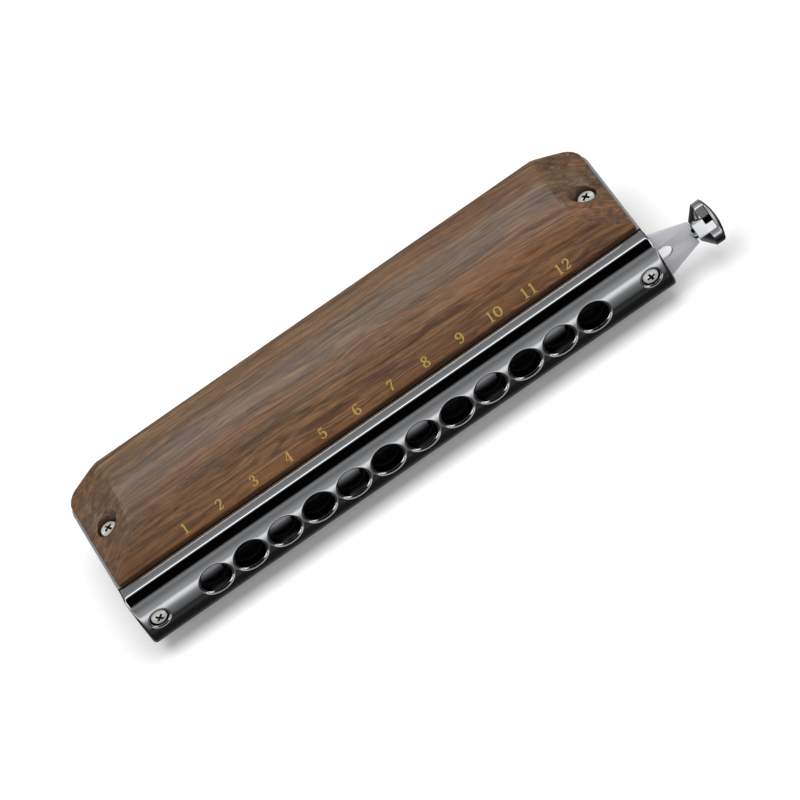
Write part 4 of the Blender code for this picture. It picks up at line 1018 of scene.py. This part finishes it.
# %% The hole numbers
DIGIT_STROKES = {
    "0": [[(0.5, 0.0, 0.05), (0.12, 0.2, 0.13), (0.06, 0.5, 0.16), (0.12, 0.8, 0.13), (0.5, 1.0, 0.05),
           (0.88, 0.8, 0.13), (0.94, 0.5, 0.16), (0.88, 0.2, 0.13), (0.5, 0.0, 0.05)]],
    "1": [[(0.5, 0.0, 0.12), (0.5, 0.5, 0.12), (0.5, 0.98, 0.12)], [(0.2, 0.82, 0.05), (0.35, 0.86, 0.06), (0.5, 0.98, 0.08)],
          [(0.18, 0.0, 0.05), (0.82, 0.0, 0.05)]],
    "2": [[(0.2, 0.74, 0.12), (0.16, 0.86, 0.1), (0.42, 1.0, 0.06), (0.8, 0.92, 0.11), (0.84, 0.68, 0.13),
           (0.6, 0.4, 0.09), (0.16, 0.06, 0.05)],
          [(0.14, 0.05, 0.07), (0.36, 0.1, 0.1), (0.66, 0.02, 0.11), (0.9, 0.26, 0.04)]],
    "3": [[(0.2, 0.78, 0.12), (0.24, 0.92, 0.08), (0.5, 1.0, 0.05), (0.78, 0.88, 0.12), (0.74, 0.64, 0.11),
           (0.4, 0.54, 0.04)],
          [(0.4, 0.54, 0.04), (0.78, 0.48, 0.11), (0.86, 0.2, 0.14), (0.54, 0.0, 0.05), (0.22, 0.06, 0.08),
           (0.16, 0.2, 0.12)]],
    "4": [[(0.68, 0.0, 0.12), (0.68, 0.5, 0.12), (0.68, 0.98, 0.12)], [(0.66, 0.98, 0.05), (0.38, 0.64, 0.05), (0.06, 0.28, 0.05)],
          [(0.06, 0.28, 0.05), (0.95, 0.28, 0.05)], [(0.42, 0.0, 0.05), (0.92, 0.0, 0.05)]],
    "5": [[(0.24, 0.96, 0.09), (0.5, 0.9, 0.1), (0.82, 0.97, 0.07)], [(0.24, 0.96, 0.05), (0.2, 0.52, 0.05)],
          [(0.2, 0.52, 0.05), (0.5, 0.64, 0.07), (0.84, 0.5, 0.13), (0.84, 0.16, 0.13), (0.5, 0.0, 0.05),
           (0.2, 0.08, 0.08), (0.16, 0.2, 0.12)]],
    "6": [[(0.8, 0.84, 0.12), (0.74, 0.96, 0.07), (0.46, 1.0, 0.05), (0.14, 0.74, 0.12), (0.1, 0.34, 0.15),
           (0.28, 0.04, 0.09), (0.52, 0.0, 0.05), (0.84, 0.14, 0.12), (0.88, 0.34, 0.13), (0.56, 0.58, 0.05),
           (0.14, 0.4, 0.06)]],
    "7": [[(0.12, 0.78, 0.06), (0.16, 0.94, 0.1), (0.5, 0.92, 0.1), (0.9, 0.98, 0.06)],
          [(0.9, 0.98, 0.05), (0.6, 0.56, 0.09), (0.44, 0.24, 0.13), (0.42, 0.02, 0.14)]],
    "8": [[(0.5, 0.54, 0.08), (0.16, 0.66, 0.11), (0.2, 0.92, 0.09), (0.5, 1.0, 0.05), (0.8, 0.92, 0.09),
           (0.82, 0.66, 0.09), (0.5, 0.54, 0.08)],
          [(0.5, 0.54, 0.08), (0.1, 0.38, 0.11), (0.14, 0.08, 0.11), (0.5, 0.0, 0.05), (0.86, 0.08, 0.11),
           (0.9, 0.36, 0.12), (0.5, 0.54, 0.08)]],
    "9": [[(0.2, 0.16, 0.12), (0.26, 0.04, 0.07), (0.54, 0.0, 0.05), (0.86, 0.26, 0.12), (0.9, 0.66, 0.15),
           (0.72, 0.96, 0.09), (0.48, 1.0, 0.05), (0.16, 0.86, 0.12), (0.12, 0.66, 0.13), (0.44, 0.42, 0.05),
           (0.86, 0.6, 0.06)]],
}
NUMBER_HEIGHT = 2.45 * MM
NUMBER_WIDTH = 1.82 * MM
NUMBER_SPACE = 0.3 * MM
NUMBER_SHIFT = 0.55 * MM
NUMBER_FOOT = 0.65 * MM


def digit_mesh(digit):
    """Mesh of a digit, drawn from height 0 up and from X = 0 to the right."""
    curve = bpy.data.curves.new("digit", "CURVE")
    curve.dimensions = "3D"
    curve.bevel_depth = 1.0
    curve.bevel_resolution = 1
    curve.resolution_u = 6
    curve.use_fill_caps = True
    for stroke in DIGIT_STROKES[digit]:
        spline = curve.splines.new("NURBS")
        spline.points.add(len(stroke) - 1)
        for point, (x, y, radius) in zip(spline.points, stroke):
            point.co = (x, y * NUMBER_HEIGHT / NUMBER_WIDTH, 0, 1)
            point.radius = radius
        spline.order_u = min(3, len(stroke))
        spline.use_endpoint_u = True
    holder = bpy.data.objects.new("digit", curve)
    bpy.context.scene.collection.objects.link(holder)
    evaluated = holder.evaluated_get(bpy.context.evaluated_depsgraph_get())
    mesh = bpy.data.meshes.new_from_object(evaluated)
    bpy.data.objects.remove(holder)
    return mesh


def make_numbers():
    """The twelve numbers on the upper cover's front slope."""
    digits = {digit: digit_mesh(digit) for digit in DIGIT_STROKES}
    slope = math.radians(FRONT_SLOPE)
    foot = Vector((0, -COVER_Y, MIDDLE_Z + COVER_FOOT + FRONT_FACE))
    up = Vector((0, math.cos(slope), math.sin(slope)))
    low = foot + up * NUMBER_FOOT
    lay = moved(*low) @ Matrix.Rotation(slope, 4, "X") @ Matrix.Diagonal((NUMBER_WIDTH, NUMBER_WIDTH, 0.16 * MM, 1))
    copies = []
    for number, x in enumerate(HOLES_X, 1):
        digit_names = str(number)
        step = NUMBER_WIDTH + NUMBER_SPACE
        start = x + NUMBER_SHIFT - (len(digit_names) * step - NUMBER_SPACE) / 2
        copies += [(digits[name], moved(start + i * step, 0, 0) @ lay) for i, name in enumerate(digit_names)]
    numbers = keep("hole_numbers", gathered(copies), GOLD, [])
    numbers.visible_glossy = False


make_numbers()

# %% [markdown]
# ## The studio
# Chrome has no look of its own: it shows the room. A photographer therefore builds a small room of
# cards around it, and here a dome and a table card do that work. Only glossy rays see them, so they
# neither light the wood nor show in the picture. The dome's bands run along X. Their angles count from
# straight up, to the back below 0 and to the player above. The table card is dark next to the
# instrument, has a bright line some way off, and is grey beyond.

# %% Floor
def add_stage(name, mesh, finish):
    """Put a piece of the studio in place."""
    mesh.materials.append(finish.material)
    piece = bpy.data.objects.new(name, mesh)
    bpy.context.scene.collection.objects.link(piece)
    return piece


def sheet(size, height):
    """A level square."""
    bm = bmesh.new()
    bmesh.ops.create_grid(bm, x_segments=1, y_segments=1, size=size, matrix=moved(0, 0, height))
    return finished(bm)


def shown(tree):
    """1 for camera, glossy and transmission rays, which show a thing, and 0 for those that light one."""
    rays = tree.nodes.new("ShaderNodeLightPath")
    kinds = ("Is Camera Ray", "Is Glossy Ray", "Is Transmission Ray")
    camera_ray, glossy_ray, clear_ray = (Socket(tree, rays.outputs[kind]) for kind in kinds)
    return camera_ray.math("ADD", camera_ray + glossy_ray, clear_ray, clamp=True)


def make_floor():
    """White paper, which looks a little brighter than it is lit, and plain white far from the lamp."""
    finish = Finish("floor_paper", (0.95, 0.95, 0.95), 0.9)
    right, back, _ = finish.axes()
    away = (right * right + back * back).math("SQRT", right * right + back * back)
    near, far = (PAPER_GLOW,) * 3 + (1.0,), (1.0, 1.0, 1.0, 1.0)
    finish.set(Emission_Color=finish.mix(away.between(0.2, 0.7), near, far), Emission_Strength=shown(finish.tree))
    add_stage("floor", sheet(3.0, 0.0), finish)


PAPER_GLOW = 0.16
make_floor()

# %% Cards for the metal
DOME_BANDS = (
    (-90, 0.01), (-72, 0.05), (-62, 0.2), (-54, 0.17), (-52.5, 0.3), (-48.4, 0.3), (-47.7, 2.0), (-45.5, 2.0),
    (-44.8, 0.3), (-40, 0.25), (-36, 0.001), (56, 0.001), (60, 0.02), (64, 0.08), (69, 0.14), (74, 0.2), (78, 0.21), (84, 0.18), (90, 0.16),
)
TABLE_BANDS = (
    (0, 0.12), (2.8, 0.06), (5, 0.025), (7, 0.01), (12, 0.01), (13.5, 0.03), (15, 0.03), (16.5, 0.02), (17.8, 0.085),
    (19, 0.12), (20.5, 0.19), (21.7, 0.28), (22.8, 0.44), (24, 0.6), (26, 0.76), (27.5, 0.8), (29.3, 0.74),
    (31.9, 0.5), (35, 0.31), (44, 0.29), (55, 0.25), (65, 0.22), (83, 0.19), (120, 0.17), (200, 0.15),
)
STRIP = 2.0
END_CARD = (0.45, 0.45, 0.45, 1.0)
BODY_X, BODY_Y = 84.0 * MM, 20.0 * MM


def card_finish(name):
    """A finish that only glows, up to the strip's level."""
    return Finish(name, (0.0, 0.0, 0.0), 1.0, Specular_IOR_Level=0.0, Emission_Strength=STRIP)


def greys(bands, lowest, highest):
    """Ramp stops from (measure, level) pairs."""
    span = highest - lowest
    return [((measure - lowest) / span, (level / STRIP,) * 3) for measure, level in bands]


def make_cards():
    """The dome, and the table card that only glossy rays see."""
    finish = card_finish("dome_cards")
    right, back, up = finish.axes()
    angle = back.math("ARCTAN2", 0 - back, up) * (1 / math.pi) + 0.5
    end = right.math("ABSOLUTE", right).between(0.78, 0.86)
    finish.set(Emission_Color=finish.mix(end, finish.ramp(angle, greys(DOME_BANDS, -90, 90)), END_CARD))
    bm = bmesh.new()
    bmesh.ops.create_icosphere(bm, subdivisions=4, radius=1.0)
    dome = add_stage("card_dome", finished(bm), finish)

    finish = card_finish("table_card")
    right, back, _ = finish.axes()
    beside = right.math("MAXIMUM", right.math("ABSOLUTE", right) - BODY_X, 0)
    before = back.math("MAXIMUM", back.math("ABSOLUTE", back) - BODY_Y, 0)
    away = (beside * beside + before * before).math("SQRT", beside * beside + before * before)
    finish.set(Emission_Color=finish.ramp(away * (1 / (200 * MM)), greys(TABLE_BANDS, 0, 200)))
    table = add_stage("table_card", sheet(1.2, 0.4 * MM), finish)
    for card in (dome, table):
        card.visible_camera = False
        card.visible_diffuse = False
        card.visible_transmission = False
        card.visible_shadow = False


make_cards()

# %% [markdown]
# Light comes from one broad lamp overhead, a little behind, and from the white surroundings. Together
# they light a level white surface to white and no further. Beyond the floor the camera sees plain white.

# %% Lamps and surroundings
AMBIENT = 0.4


def add_lamp(name, place, aim, size, power):
    """A rectangular lamp that looks at a point and isn't mirrored in the metal."""
    lamp = bpy.data.lights.new(name, "AREA")
    lamp.shape = "RECTANGLE"
    lamp.size, lamp.size_y = size
    lamp.energy = power
    holder = bpy.data.objects.new(name, lamp)
    holder.location = place
    holder.rotation_euler = (Vector(aim) - Vector(place)).to_track_quat("-Z", "Y").to_euler()
    holder.visible_glossy = False
    bpy.context.scene.collection.objects.link(holder)


def make_world():
    """White for the camera and in glass, and softer as a light."""
    world = bpy.data.worlds.new("studio")
    world.use_nodes = True
    tree = world.node_tree
    background = tree.nodes["Background"]
    background.inputs["Color"].default_value = (1, 1, 1, 1)
    plug(tree, background.inputs["Strength"], shown(tree) * (1 - AMBIENT) + AMBIENT)
    bpy.context.scene.world = world


add_lamp("overhead", (0.0, -0.25, 0.85), (0, 0, 0.014), (0.8, 0.5), 6.6)
make_world()

# %% [markdown]
# ## The camera
# The photograph was taken from 43 degrees above the table with a long lens. The camera is turned about
# its own axis, so the instrument rises to the right.

# %% The camera
VIEW_HEIGHT_ANGLE = 43.0
VIEW_SIDE_ANGLE = 0.13
VIEW_ROLL = 34.82
VIEW_DISTANCE = 1.312
VIEW_TARGET = Vector((0.0051, -0.0103, 0.014))
FOCAL_PIXELS = 5725.0
PICTURE_PIXELS = 800
SENSOR = 36.0

camera_data = bpy.data.cameras.new("camera")
camera_data.sensor_width = SENSOR
camera_data.lens = FOCAL_PIXELS * SENSOR / PICTURE_PIXELS
camera = bpy.data.objects.new("camera", camera_data)
height, side = math.radians(VIEW_HEIGHT_ANGLE), math.radians(VIEW_SIDE_ANGLE)
away = Vector((math.sin(side) * math.cos(height), -math.cos(side) * math.cos(height), math.sin(height)))
camera.location = VIEW_TARGET + away * VIEW_DISTANCE
turn = away.to_track_quat("Z", "Y").to_matrix() @ Matrix.Rotation(math.radians(-VIEW_ROLL), 3, "Z")
camera.rotation_euler = turn.to_euler()
bpy.context.scene.collection.objects.link(camera)
bpy.context.scene.camera = camera
bpy.context.scene.view_settings.view_transform = "Standard"
